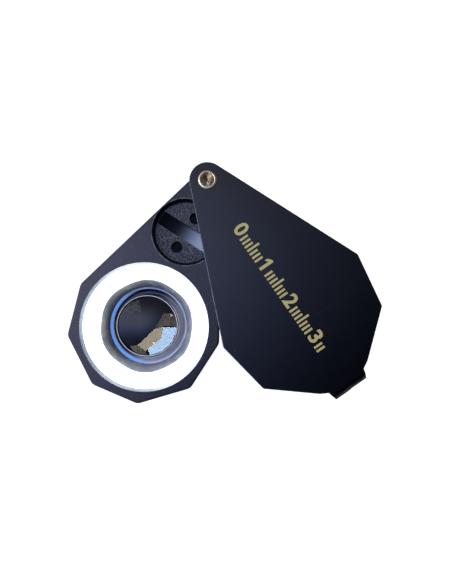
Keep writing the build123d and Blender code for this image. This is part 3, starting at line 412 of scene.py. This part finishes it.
def barrel_metal():
    """Grey turned metal: a satin conical mouth, and below it a steep step with painted light: a glowing
    painted blue reflection on its west, a pale glowing band at its top, and a pale painted side.
    """
    s = Shade("barrel_anodised")
    height = s.parts(s.place)[2]
    r = s.radius(LENS_AXIS)
    turned = s.lines(s.math("ADD", r, height), 0.16)
    colour = s.mix(turned, (0.28, 0.31, 0.37), (0.46, 0.48, 0.52))
    colour = s.mix(s.step(s.noise(2.4, 3), 0.45, 0.7), colour, (0.60, 0.59, 0.52))
    wall = s.math("MULTIPLY", s.step(height, *STEP_TOP, 1.0, 0.0), s.step(height, *STEP_FOOT))
    off = s.vector("SUBTRACT", s.place, tuple(LENS_AXIS)).outputs[0]
    blue_side = s.vector("DOT_PRODUCT", off, tuple(BLUE_SIDE)).outputs["Value"]
    deep_blue = s.math("MULTIPLY", s.step(blue_side, 0.5 * MM, 6.0 * MM), s.step(height, *STEP_BLUE))
    along_light_side = s.vector("DOT_PRODUCT", off, tuple(PAINTED_LIGHT_SIDE)).outputs["Value"]
    painted_light = s.step(along_light_side, -3.0 * MM, 5.0 * MM)
    # The step's upper brink is painted pale all round, a painted highlight. Below it the step is painted
    # blue as a reflection, near black, or pale on the lit side.
    brink = s.step(height, *STEP_BRINK)
    hue = s.mix(painted_light, (0.025, 0.030, 0.060), (0.74, 0.73, 0.70))
    hue = s.mix(brink, hue, s.mix(painted_light, (0.42, 0.50, 0.82), (0.82, 0.83, 0.95)))
    hue = s.mix(deep_blue, hue, (0.20, 0.46, 1.0))
    colour = s.mix(wall, colour, hue)
    metallic = s.blend(wall, 0.35, 0.0)
    rough = s.blend(wall, s.blend(turned, 0.34, 0.48), 0.34)
    # Light leaks under the ring onto the lip beside each lamp, and a little of it down the cone.
    wave = lamp_wave(s)
    lobes = s.step(wave, -1.0, 1.0)
    edge = s.math("MULTIPLY_ADD", wave, -LIP_WAVE, LIP_EDGE)
    on_lip = s.step(height, BARREL_LIP - 0.35 * MM, BARREL_LIP - 0.08 * MM)
    past = s.step(s.math("SUBTRACT", r, edge), -0.14 * MM, 0.14 * MM)
    leak = s.math("MULTIPLY", s.math("MULTIPLY", on_lip, past), 1.5)
    west = s.step(blue_side, -7.0 * MM, 7.0 * MM, 0.25, 1.0)
    spots = s.math("MULTIPLY_ADD", s.math("POWER", lobes, 2.0), 0.10, 0.055)
    down = s.math("MULTIPLY", s.math("MULTIPLY", s.step(height, 10.2 * MM, 12.6 * MM), west), spots)
    # Painted glow: the blue part of the step and its upper brink give off light, though no lamp is there.
    glow = s.math("MAXIMUM", deep_blue, s.math("MULTIPLY", brink, 0.45))
    shine = s.math("ADD", leak, s.math("MULTIPLY", s.math("MULTIPLY", wall, glow), 0.58))
    s.set(Base_Color=colour, Metallic=metallic, Roughness=rough, Normal=s.bump(turned, 0.006))
    tint = s.mix(wall, (0.95, 0.98, 1.0), s.mix(deep_blue, (0.50, 0.58, 1.0), (0.20, 0.42, 1.0)))
    s.set(Emission_Color=tint, Emission_Strength=s.math("ADD", shine, down))
    return s.material


def ring_metal():
    """Grey-black anodised ring, painted pale on one side of its collar, with a painted highlight on the
    bevel at the top of its collar that also glows.
    """
    s = Shade("ring_anodised")
    r = s.radius(LENS_AXIS)
    height = s.parts(s.place)[2]
    turned = s.lines(s.math("ADD", r, height), 0.13)
    off = s.vector("SUBTRACT", s.place, tuple(LENS_AXIS)).outputs[0]
    along_light_side = s.vector("DOT_PRODUCT", off, tuple(PAINTED_LIGHT_SIDE)).outputs["Value"]
    # Painted light: the collar is painted pale on one side and near black on the other.
    painted_light = s.step(along_light_side, -3.0 * MM, 5.0 * MM)
    colour = s.mix(painted_light, (0.030, 0.036, 0.058), (0.74, 0.73, 0.68))
    colour = s.mix(turned, colour, s.mix(painted_light, (0.045, 0.052, 0.080), (0.92, 0.90, 0.86)))
    shoulder = s.within(height, COLLAR_TOP - 0.14 * MM, COLLAR_TOP + 0.1 * MM, 0.02 * MM)
    colour = s.mix(shoulder, colour, (0.012, 0.012, 0.016))
    # Painted highlight: the bevel at the collar's top is painted near white and matt.
    bevel = s.math(
        "MULTIPLY",
        s.step(r, 7.29 * MM, 7.33 * MM, 1.0, 0.0),
        s.step(height, COLLAR_TOP - 0.16 * MM, COLLAR_TOP - 0.11 * MM),
    )
    colour = s.mix(bevel, colour, (0.85, 0.87, 0.92))
    rough = s.blend(bevel, s.blend(turned, 0.26, 0.38), 0.50)
    metallic = s.math("MULTIPLY", s.math("SUBTRACT", 1.0, s.math("MAXIMUM", bevel, painted_light)), 0.35)
    s.set(Base_Color=colour, Metallic=metallic, Roughness=rough, Normal=s.bump(turned, 0.004))
    # Light from the lamps runs along the clear bevel and lights its edge.
    s.set(Emission_Color=(0.92, 0.95, 1.0), Emission_Strength=s.math("MULTIPLY", bevel, 0.30))
    return s.material


def diffuser_milk():
    """Opal ring lit from behind by the lamps, brighter over each lamp and faintly cloudy."""
    s = Shade("diffuser_milk")
    r = s.radius(LENS_AXIS)
    from_lamp = s.math("DIVIDE", s.math("SUBTRACT", r, LAMP_CIRCLE), LAMP_SPREAD)
    from_lamp = s.math("ABSOLUTE", from_lamp)
    near_lamp = s.math("MAXIMUM", s.math("SUBTRACT", 1.0, from_lamp), 0.0)
    hot = s.math("MULTIPLY", near_lamp, s.step(lamp_wave(s), -1.0, 1.0))
    level = s.math("ADD", s.math("MULTIPLY", hot, 4.0), s.blend(s.noise(1.8, 3), 4.6, 5.4))
    colour = s.mix(s.step(r, 13.6 * MM, 14.5 * MM), (1.0, 1.0, 1.0), (0.80, 0.90, 1.0))
    s.set(Base_Color=(0.85, 0.86, 0.88), Roughness=0.42, Emission_Color=colour, Emission_Strength=level)
    s.set(Normal=s.bump(s.noise(0.5, 3), 0.004))
    return s.material


def lens_glass():
    """Coated optical glass with faint dust and wiping marks. The coating takes off some gloss."""
    s = Shade("lens_glass")
    # The glass is tinted dark navy: painted shade for the unlit patch under the lens.
    s.set(Base_Color=(0.080, 0.090, 0.150), Roughness=0.0, IOR=1.38, Transmission_Weight=1.0)
    dust = s.add("ShaderNodeBsdfDiffuse")
    dust.inputs["Color"].default_value = (0.50, 0.52, 0.58, 1)
    wipe = s.step(s.noise(3.4, 4, 0.7, distortion=1.2), 0.50, 0.75, 0.0, 0.025)
    motes = s.step(s.cells(1.7), 0.03, 0.055, 0.35, 0.0)
    amount = s.math("MAXIMUM", wipe, s.math("MULTIPLY", motes, s.step(s.noise(3.0, 1), 0.55, 0.6)))
    both = s.add("ShaderNodeMixShader")
    s.join(amount, both.inputs[0])
    s.join(s.bsdf.outputs[0], both.inputs[1])
    s.join(dust.outputs[0], both.inputs[2])
    s.join(both.outputs[0], s.output.inputs["Surface"])
    return s.material


def lens_cement():
    """The cemented faces inside the lens: clear, with a trace of yellow, and a few tiny bubbles."""
    s = Shade("lens_cement")
    clear = s.add("ShaderNodeBsdfTransparent")
    bubbles = s.step(s.cells(2.2), 0.02, 0.04, 1.0, 0.0)
    s.join(s.mix(bubbles, (0.985, 0.985, 0.975), (0.7, 0.7, 0.7)), clear.inputs["Color"])
    s.join(clear.outputs[0], s.output.inputs["Surface"])
    return s.material


def lens_edge():
    """Ground glass edge, blackened with matt paint."""
    s = Shade("lens_edge")
    colour = s.mix(s.noise(0.3, 4), (0.004, 0.004, 0.005), (0.010, 0.010, 0.012))
    rough = s.blend(s.noise(0.2, 3), 0.7, 0.9)
    s.set(Base_Color=colour, Roughness=rough, Normal=s.bump(s.noise(0.15, 3), 0.01))
    return s.material


def moulded(name, light, dark, rough, grain=0.25, depth=0.008):
    """Small moulded or coated piece with a fine grain."""
    s = Shade(name)
    colour = s.mix(s.noise(1.1, 3), light, dark)
    fine = s.noise(grain, 3)
    value = s.blend(fine, rough * 0.85, rough * 1.2)
    s.set(Base_Color=colour, Roughness=value, Normal=s.bump(fine, depth))
    return s.material


def board_laminate():
    """Green solder mask over copper tracks, on glass laminate."""
    s = Shade("board_laminate")
    r = s.radius(LENS_AXIS)
    inner, outer = (s.within(r, *span, 0.03 * MM) for span in BOARD_TRACKS)
    track = s.math("MAXIMUM", inner, outer)
    colour = s.mix(s.noise(0.7, 3), (0.012, 0.085, 0.035), (0.018, 0.110, 0.045))
    colour = s.mix(track, colour, (0.040, 0.190, 0.070))
    rough = s.blend(s.noise(0.5, 2), 0.28, 0.4)
    s.set(Base_Color=colour, Roughness=rough, Normal=s.bump(track, 0.03))
    return s.material


def lamp_white():
    """White lamp body with its yellow phosphor, lit."""
    s = Shade("lamp_white")
    up = s.step(s.facing()[2], 0.5, 0.9)
    phosphor = s.math("MULTIPLY", up, s.step(s.noise(0.3, 2), 0.2, 0.6, 0.6, 1.0))
    colour = s.mix(phosphor, (0.80, 0.80, 0.78), (0.85, 0.72, 0.25))
    rough = s.blend(s.noise(0.2, 2), 0.35, 0.5)
    s.set(Base_Color=colour, Roughness=rough, Normal=s.bump(s.noise(0.1, 2), 0.004))
    s.set(Emission_Color=(1.0, 0.97, 0.90), Emission_Strength=s.math("MULTIPLY", phosphor, 6.0))
    return s.material


def gold_print():
    """Screen-printed gold ink: fine flakes, slightly uneven, thin at a few spots."""
    s = Shade("gold_print")
    flake = s.noise(0.22, 4, 0.7)
    colour = s.mix(flake, (0.93, 0.66, 0.165), (1.0, 0.94, 0.35))
    colour = s.mix(s.step(s.noise(1.9, 3), 0.58, 0.78, 0.0, 0.45), colour, (0.55, 0.42, 0.11))
    rough = s.blend(flake, 0.36, 0.55)
    s.set(Base_Color=colour, Metallic=0.05, Roughness=rough, Normal=s.bump(flake, 0.006))
    return s.material


MATERIALS = {
    "case_paint": case_paint(),
    "rivet_brass": rivet_metal(),
    "bright_steel": plain_metal(
        "bright_steel", (0.62, 0.62, 0.63), (0.45, 0.45, 0.46), 0.28, axis=(0, 0, 0)
    ),
    "head_plastic": head_plastic(),
    "cap_plastic": cap_plastic(),
    "screw_black": plain_metal("screw_black", (0.050, 0.050, 0.054), (0.028, 0.028, 0.030), 0.34, 0.2),
    "barrel_anodised": barrel_metal(),
    "ring_anodised": ring_metal(),
    "lens_glass": lens_glass(),
    "diffuser_milk": diffuser_milk(),
    "board_laminate": board_laminate(),
    "lamp_white": lamp_white(),
    "resistor_black": moulded("resistor_black", (0.012, 0.012, 0.014), (0.03, 0.03, 0.032), 0.5, 0.1),
    "cell_steel": plain_metal(
        "cell_steel", (0.66, 0.66, 0.66), (0.52, 0.52, 0.53), 0.22, axis=BATTERY_AXIS
    ),
    "contact_nickel": plain_metal("contact_nickel", (0.70, 0.68, 0.63), (0.55, 0.53, 0.48), 0.25),
    "switch_steel": plain_metal("switch_steel", (0.60, 0.60, 0.60), (0.42, 0.42, 0.42), 0.33),
    "slider_plastic": moulded("slider_plastic", (0.010, 0.010, 0.012), (0.020, 0.020, 0.022), 0.45),
    "lead_black": moulded("lead_black", (0.012, 0.012, 0.013), (0.022, 0.022, 0.024), 0.4, 0.4, 0.004),
    "lead_red": moulded("lead_red", (0.42, 0.02, 0.015), (0.30, 0.015, 0.012), 0.4, 0.4, 0.004),
}
CEMENT = lens_cement()
EDGE = lens_edge()
GOLD = gold_print()

node_slots = {entry["node"]: entry["material_slot"] for entry in frame["record"]["subparts"]}
for name, node in frame["nodes"].items():
    for slot in node.material_slots:
        slot.material = MATERIALS[node_slots[name]]

# ---- The lens elements --------------------------------------------------------------------------

LENS_RADIUS = (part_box("lens_front")[1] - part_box("lens_front")[0]).x / 2 / MM
OUTER_CURVE = 20.0
INNER_CURVE = 14.0
FILM = 0.02
MENISCUS = 0.8
BACK_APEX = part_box("lens_rear")[0].z / MM
FRONT_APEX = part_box("lens_front")[1].z / MM
LENS_TURNS = 192
LENS_RINGS = 40
EDGE_BEVEL = 0.12


def add_object(name, mesh):
    """A new object in the scene that shows a mesh."""
    piece = bpy.data.objects.new(name, mesh)
    bpy.context.scene.collection.objects.link(piece)
    return piece


def face_height(apex, curve, side, r):
    """Height of a spherical face at a distance from the axis; side 1 bulges up, -1 down."""
    return apex - side * (curve - math.sqrt(curve**2 - r**2))


def lens_element(name, lower, upper, lower_material, upper_material, node):
    """A lens between two spherical faces with a ground, bevelled edge."""
    mesh = bpy.data.meshes.new(name)
    form = bmesh.new()
    reach = LENS_RADIUS - EDGE_BEVEL
    radii = [reach * i / LENS_RINGS for i in range(LENS_RINGS + 1)]
    points = [(r, face_height(*lower, r)) for r in radii]
    points.append((LENS_RADIUS, face_height(*lower, LENS_RADIUS) + EDGE_BEVEL))
    points.append((LENS_RADIUS, face_height(*upper, LENS_RADIUS) - EDGE_BEVEL))
    points += [(r, face_height(*upper, r)) for r in reversed(radii)]
    # Material slots up the profile: the lower face, the bevels and the ground edge, the upper face.
    kinds = [0] * LENS_RINGS + [2, 2, 2] + [1] * LENS_RINGS
    rings = []
    for r, z in points:
        if r == 0:
            rings.append([form.verts.new((LENS_AXIS.x, LENS_AXIS.y, z * MM))])
            continue
        ring = []
        for k in range(LENS_TURNS):
            a = 2 * math.pi * k / LENS_TURNS
            x = LENS_AXIS.x + r * MM * math.cos(a)
            y = LENS_AXIS.y + r * MM * math.sin(a)
            ring.append(form.verts.new((x, y, z * MM)))
        rings.append(ring)
    for (one, two), kind in zip(zip(rings, rings[1:]), kinds):
        for k in range(LENS_TURNS):
            n = (k + 1) % LENS_TURNS
            if len(one) == 1:
                corners = (one[0], two[n], two[k])
            elif len(two) == 1:
                corners = (one[k], one[n], two[0])
            else:
                corners = (one[k], one[n], two[n], two[k])
            face = form.faces.new(corners)
            face.material_index = kind
            face.smooth = True
    bmesh.ops.recalc_face_normals(form, faces=form.faces)
    form.to_mesh(mesh)
    form.free()
    mesh.set_sharp_from_angle(angle=math.radians(30))
    piece = add_object(name, mesh)
    for material in (lower_material, upper_material, EDGE):
        mesh.materials.append(material)
    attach(piece, "head")
    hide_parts(node)
    lens_pieces.append(piece)


lens_pieces = []
lens_middle_height = (BACK_APEX + FRONT_APEX) / 2
inner_half = (FRONT_APEX - BACK_APEX) / 2 - MENISCUS
glass = MATERIALS["lens_glass"]
lens_element(
    "lens_front_glass",
    (lens_middle_height + inner_half + FILM, INNER_CURVE, 1),
    (FRONT_APEX, OUTER_CURVE, 1),
    CEMENT,
    glass,
    "lens_front",
)
lens_element(
    "lens_middle_glass",
    (lens_middle_height - inner_half, INNER_CURVE, -1),
    (lens_middle_height + inner_half, INNER_CURVE, 1),
    CEMENT,
    CEMENT,
    "lens_middle",
)
lens_element(
    "lens_rear_glass",
    (BACK_APEX, OUTER_CURVE, -1),
    (lens_middle_height - inner_half - FILM, INNER_CURVE, -1),
    glass,
    CEMENT,
    "lens_rear",
)

# ---- The printed scale on the case --------------------------------------------------------------

SCALE_START = 13.8
SCALE_LENGTH = 33
SCALE_FOOT = -1.8
NUMERAL_HEIGHT = 3.6
NUMERAL_WIDTH = 2.35
TICK_WIDTH = 0.52
TICK_HEIGHT = 2.2
LONG_TICK_HEIGHT = 3.3
PRINT_THICKNESS = 0.014
PRINT_SINK = 0.004
TICK_CORNER = 0.08
TICK_CORNER_STEPS = 4
NUMERAL_STROKE = 0.72
NUMERAL_BOLDNESS = 0.028
NUMERAL_SMOOTHNESS = 8
# The flag of the figure one, down from its top.
FLAG_TIP = 0.75
FLAG_ROOT = 1.0
FLAG_FOOT = 1.50


def ink_piece(name, mesh):
    """A printed piece that rides on the case."""
    mesh.materials.append(GOLD)
    piece = add_object(name, mesh)
    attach(piece, "case")


def rounded_bar(form, x, y, width, height):
    """An upright bar of ink with rounded corners, standing on the plate."""
    corner = TICK_CORNER
    outline = []
    for cx, cy, start in (
        (x + width / 2 - corner, y + height - corner, 0),
        (x - width / 2 + corner, y + height - corner, 90),
        (x - width / 2 + corner, y + corner, 180),
        (x + width / 2 - corner, y + corner, 270),
    ):
        for k in range(TICK_CORNER_STEPS + 1):
            a = math.radians(start + 90 * k / TICK_CORNER_STEPS)
            outline.append((cx + corner * math.cos(a), cy + corner * math.sin(a)))
    low = PLATE_TOP - PRINT_SINK * MM
    bottom = [form.verts.new((px * MM, py * MM, low)) for px, py in outline]
    high = low + PRINT_THICKNESS * MM
    top = [form.verts.new((px * MM, py * MM, high)) for px, py in outline]
    form.faces.new(top)
    form.faces.new(list(reversed(bottom)))
    for k in range(len(outline)):
        n = (k + 1) % len(outline)
        form.faces.new((bottom[k], bottom[n], top[n], top[k]))


def scale_ticks():
    """The scale's ticks, one a millimetre, with gaps for the numerals."""
    mesh = bpy.data.meshes.new("scale_ticks")
    form = bmesh.new()
    for tick in range(SCALE_LENGTH + 1):
        past = tick % 10
        if past in (0, 1, 9):
            continue
        tall = LONG_TICK_HEIGHT if past == 5 else TICK_HEIGHT
        rounded_bar(form, SCALE_START + tick, SCALE_FOOT, TICK_WIDTH, tall)
    form.to_mesh(mesh)
    form.free()
    ink_piece("scale_ticks", mesh)


def numeral_one():
    """A bold figure one with a flag, drawn as a flat outline."""
    x = SCALE_START + 10
    top = SCALE_FOOT + NUMERAL_HEIGHT
    left = x - NUMERAL_STROKE * 0.4
    right = left + NUMERAL_STROKE
    outline = [
        (left, SCALE_FOOT),
        (right, SCALE_FOOT),
        (right, top),
        (right - NUMERAL_STROKE * 0.85, top),
        (left - NUMERAL_STROKE, top - FLAG_TIP),
        (left - NUMERAL_STROKE, top - FLAG_FOOT),
        (left, top - FLAG_ROOT),
    ]
    low = PLATE_TOP - PRINT_SINK * MM
    high = low + PRINT_THICKNESS * MM
    count = len(outline)
    points = [(px * MM, py * MM, z) for z in (low, high) for px, py in outline]
    faces = [tuple(reversed(range(count))), tuple(range(count, 2 * count))]
    faces += [(k, (k + 1) % count, count + (k + 1) % count, count + k) for k in range(count)]
    mesh = bpy.data.meshes.new("scale_numeral_1")
    mesh.from_pydata(points, [], faces)
    ink_piece(mesh.name, mesh)


def scale_numeral(number):
    """One bold numeral of the scale."""
    text = bpy.data.curves.new(f"numeral_{number}", "FONT")
    text.body = str(number)
    text.offset = NUMERAL_BOLDNESS
    text.resolution_u = NUMERAL_SMOOTHNESS
    text.extrude = 0.01
    source = add_object("numeral_source", text)
    bpy.context.view_layer.update()
    mesh = bpy.data.meshes.new_from_object(source.evaluated_get(bpy.context.evaluated_depsgraph_get()))
    bpy.data.objects.remove(source)
    corners = [v.co for v in mesh.vertices]
    low = Vector([min(c[i] for c in corners) for i in range(3)])
    size = Vector([max(c[i] for c in corners) for i in range(3)]) - low
    width = min(NUMERAL_WIDTH, NUMERAL_HEIGHT * size.x / size.y * 1.05)
    for v in mesh.vertices:
        part = [(v.co[i] - low[i]) / size[i] for i in range(3)]
        x = SCALE_START + 10 * number + (part[0] - 0.5) * width
        y = SCALE_FOOT + part[1] * NUMERAL_HEIGHT
        v.co = (x * MM, y * MM, PLATE_TOP + (part[2] * PRINT_THICKNESS - PRINT_SINK) * MM)
    mesh.name = f"scale_numeral_{number}"
    mesh.materials.clear()
    ink_piece(mesh.name, mesh)


scale_ticks()
numeral_one()
for number in (0, 2, 3):
    scale_numeral(number)

# ---- Floor, light and camera --------------------------------------------------------------------

FLOOR_HALF = 3.0
FLOOR_GAP = 0.02 * MM
floor_corners = [(-FLOOR_HALF, -FLOOR_HALF), (FLOOR_HALF, -FLOOR_HALF)]
floor_corners += [(FLOOR_HALF, FLOOR_HALF), (-FLOOR_HALF, FLOOR_HALF)]
floor_mesh = bpy.data.meshes.new("floor")
floor_mesh.from_pydata([(x, y, -FLOOR_GAP) for x, y in floor_corners], [], [(0, 1, 2, 3)])
floor = add_object("floor", floor_mesh)
table = Shade("table_white")
table_tone = table.mix(table.noise(90.0, 2), (0.55, 0.55, 0.55), (0.58, 0.58, 0.58))
table.set(Base_Color=table_tone, Roughness=0.8, Specular_IOR_Level=0.1)
table.set(Emission_Color=(1.0, 1.0, 1.0), Emission_Strength=0.94)
floor_mesh.materials.append(table.material)
# Dark gloss mirrors the dim room under the table's edge, and the lens lies over an unlit patch.
floor.visible_glossy = False
floor.visible_transmission = False

# A plain pale backdrop, seen but giving no light.
DOME_RADIUS = 2.6
dome_mesh = bpy.data.meshes.new("backdrop")
dome_form = bmesh.new()
bmesh.ops.create_uvsphere(dome_form, u_segments=64, v_segments=32, radius=DOME_RADIUS)
dome_form.to_mesh(dome_mesh)
dome_form.free()
dome_mesh.polygons.foreach_set("use_smooth", [True] * len(dome_mesh.polygons))
dome = add_object("backdrop", dome_mesh)
paper = Shade("backdrop_paper")
paper_height = paper.parts(paper.place)[2]
paper_tone = paper.mix(paper.step(paper_height, 0.0, DOME_RADIUS), (1.0, 1.0, 1.0), (0.90, 0.90, 0.91))
paper.set(Base_Color=(0, 0, 0), Specular_IOR_Level=0.0, Emission_Color=paper_tone, Emission_Strength=1.0)
dome_mesh.materials.append(paper.material)
for ray in ("diffuse", "glossy", "transmission", "shadow", "volume_scatter"):
    setattr(dome, f"visible_{ray}", False)

CAMERA_SENSOR = 36.0
CAMERA_FOCAL_LENGTH = 33.60
CAMERA_NEAREST = 0.002
CAMERA_FARTHEST = 20.0
camera_data = bpy.data.cameras.new("camera")
camera_data.sensor_fit = "HORIZONTAL"
camera_data.sensor_width = CAMERA_SENSOR
camera_data.lens = CAMERA_FOCAL_LENGTH
camera_data.clip_start = CAMERA_NEAREST
camera_data.clip_end = CAMERA_FARTHEST
camera = add_object("camera", camera_data)
CAMERA_SPOT = Vector((24.569, -13.324, 114.132)) * MM
CAMERA_AIM = Vector((23.69, -11.12, 16.3)) * MM
CAMERA_UP = Vector((-0.82284, 0.56791, 0.02020))
back = (CAMERA_SPOT - CAMERA_AIM).normalized()
right = CAMERA_UP.cross(back).normalized()
turn = Matrix((right, back.cross(right), back)).transposed().to_4x4()
camera.matrix_world = Matrix.Translation(CAMERA_SPOT) @ turn
bpy.context.scene.camera = camera

# The room.
world = bpy.data.worlds.new("studio")
bpy.context.scene.world = world
world.use_nodes = True
sky = Shade.__new__(Shade)
sky.tree = world.node_tree
sky.tree.nodes.clear()
sky.place = sky.add("ShaderNodeTexCoord").outputs["Generated"]
east = sky.vector("DOT_PRODUCT", sky.place, tuple(EAST)).outputs["Value"]
south = sky.vector("DOT_PRODUCT", sky.place, tuple(SOUTH)).outputs["Value"]
up = sky.parts(sky.place)[2]
# A soft light hangs over the west side. Its brightness falls away eastwards by a power of e, and
# southwards too, fastest in red and slowest in blue, so it cools as it dims.
LEVEL = (-0.5, -0.3, 0.3)
FALL_EAST = -4.5
FALL_SOUTH = (-3.4, -3.0, -2.3)
# The falls steepen with the squares of east and south and with their product.
BEND_EAST = -5.0
BEND_SOUTH = -11.5
BEND_BOTH = -3.5
LEVEL_OFF = (0.8, 0.6, 1.0)
WEST_LIMIT = -0.33
ROOM = (0.008, 0.008, 0.013)
# Sines of the heights between which one zone of the room passes into the next.
TABLE_EDGE = (-0.10, 0.02)
SKIRTING_TOP = (0.08, 0.26)
WALL_TOP = (0.40, 0.62)
channels = sky.add("ShaderNodeCombineXYZ")
near_east = sky.math("MAXIMUM", east, WEST_LIMIT)
bend = sky.math("MULTIPLY", sky.math("MULTIPLY", near_east, near_east), BEND_EAST)
bend = sky.math("MULTIPLY_ADD", sky.math("MULTIPLY", south, south), BEND_SOUTH, bend)
bend = sky.math("MULTIPLY_ADD", sky.math("MULTIPLY", near_east, south), BEND_BOTH, bend)
corner = sky.math("MULTIPLY_ADD", east, 0.85, sky.math("MULTIPLY", south, 0.9))
fade = sky.step(corner, 0.23, 0.37, 1.0, 0.10)
for index, (level, by_south) in enumerate(zip(LEVEL, FALL_SOUTH)):
    power = sky.math("MULTIPLY_ADD", south, by_south, level)
    power = sky.math("MULTIPLY_ADD", near_east, FALL_EAST, power)
    power = sky.math("ADD", power, bend)
    glow = sky.math("EXPONENT", sky.math("MINIMUM", power, LEVEL_OFF[index]))
    sky.join(sky.math("MULTIPLY_ADD", glow, fade, ROOM[index]), channels.inputs[index])
walls = sky.mix(sky.step(east, -0.70, 0.30), (1.00, 1.03, 1.10), (0.10, 0.090, 0.080))
upper = sky.mix(sky.step(up, *WALL_TOP), walls, channels.outputs[0])
skirting = sky.mix(sky.step(east, -0.8, 0.6), (0.85, 0.85, 0.88), (0.60, 0.59, 0.58))
middle_zone = sky.mix(sky.step(up, *SKIRTING_TOP), skirting, upper)
total = sky.mix(sky.step(up, *TABLE_EDGE), (0.10, 0.10, 0.105), middle_zone)
background = sky.add("ShaderNodeBackground")
sky.join(total, background.inputs["Color"])
background.inputs["Strength"].default_value = 1.0
sky.join(background.outputs[0], sky.add("ShaderNodeOutputWorld").inputs["Surface"])

# ---- Window and wall that only the glass and the polished rivet mirror --------------------------

CARD_HEIGHT = 0.6
CARD_GAP = 2 * MM

lens_mirror = bpy.data.collections.new("lens_mirror")
for piece in lens_pieces:
    lens_mirror.objects.link(piece)
rivet_mirror = bpy.data.collections.new("rivet_mirror")
rivet_mirror.objects.link(frame["nodes"]["pivot_rivet"])
cards = []


def card(name, corners, colour, level, blotch=0.0, mirror=lens_mirror):
    """A glowing flat card over the table; corners are east and south offsets per unit of height."""
    s = Shade(name)
    s.tree.nodes.remove(s.bsdf)
    glow = s.add("ShaderNodeEmission")
    cloud = s.step(s.noise(90.0, 4), 0.35, 0.68, 1 - blotch, 1.0)
    glow.inputs["Color"].default_value = (*colour, 1)
    s.join(s.math("MULTIPLY", cloud, level), glow.inputs["Strength"])
    # Everything that doesn't mirror a card sees the room through it.
    clear = s.add("ShaderNodeBsdfTransparent")
    both = s.add("ShaderNodeAddShader")
    s.join(clear.outputs[0], both.inputs[0])
    s.join(glow.outputs[0], both.inputs[1])
    s.join(both.outputs[0], s.output.inputs["Surface"])
    spots = [EAST * e * CARD_HEIGHT + SOUTH * d * CARD_HEIGHT for e, d in corners]
    # Each card hangs a little under the last, so no two lie in one plane.
    height = COLLAR_TOP + CARD_HEIGHT - CARD_GAP * len(cards)
    base = Vector((LENS_AXIS.x, LENS_AXIS.y, height))
    mesh = bpy.data.meshes.new(name)
    mesh.from_pydata([base + spot for spot in spots], [], [tuple(range(len(spots)))])
    mesh.materials.append(s.material)
    piece = add_object(name, mesh)
    for ray in ("camera", "diffuse", "transmission", "shadow", "volume_scatter"):
        setattr(piece, f"visible_{ray}", False)
    piece.light_linking.receiver_collection = mirror
    cards.append(piece)


# The window and the lit wall beside it share the sill's three corners.
SILL = [(-0.19, 0.80), (0.22, 0.42), (0.28, 0.10)]
WINDOW = [SILL[2], (0.80, 0.13), (0.62, 0.75), (0.20, 1.15), (-0.16, 1.20), SILL[0], SILL[1]]
WALL = [(-0.52, 0.69), (0.03, 0.15), (0.27, 0.07), SILL[2], SILL[1], SILL[0], (-0.26, 0.95)]
CORNER = [(-0.85, 0.80), (-0.53, 0.70), (-0.28, 0.97), (-0.26, 1.40), (-0.70, 1.40)]
DOOR = [(0.05, 0.12), (0.30, -0.30), (0.75, -0.30), (0.80, 0.11), (0.27, 0.06)]
LEAVES = [(-0.95, -0.75), (-0.45, -0.75), (-0.35, -0.35), (-0.62, -0.28), (-1.05, -0.40)]
LAMP = [(-0.95, -0.35), (-0.35, -0.35), (-0.35, 0.15), (-0.95, 0.15)]
TRIANGLE = [(0.50, -0.30), (0.58, -0.24), (0.50, -0.20)]
GLINT = [(-0.02, 0.53), (0.03, 0.53), (0.03, 0.58), (-0.02, 0.58)]
card("window_card", WINDOW, (0.50, 0.70, 1.0), 36.0, 0.15)
card("wall_card", WALL, (1.0, 0.90, 0.64), 12.6, 0.10)
card("corner_card", CORNER, (1.0, 1.0, 0.80), 3.8, 0.5)
card("door_card", DOOR, (1.0, 0.80, 0.72), 3.2, 0.5)
card("leaves_card", LEAVES, (0.80, 1.0, 0.85), 2.0, 1.0)
card("triangle_card", TRIANGLE, (1.0, 0.97, 0.90), 20.0)
card("glint_card", GLINT, (1.0, 0.75, 0.20), 40.0)
card("lamp_card", LAMP, (1.0, 0.98, 0.94), 6.0, 0.1, rivet_mirror)

settings = bpy.context.scene.view_settings
settings.view_transform = "Standard"
settings.look = "None"
settings.exposure = 0.0
settings.gamma = 1.0
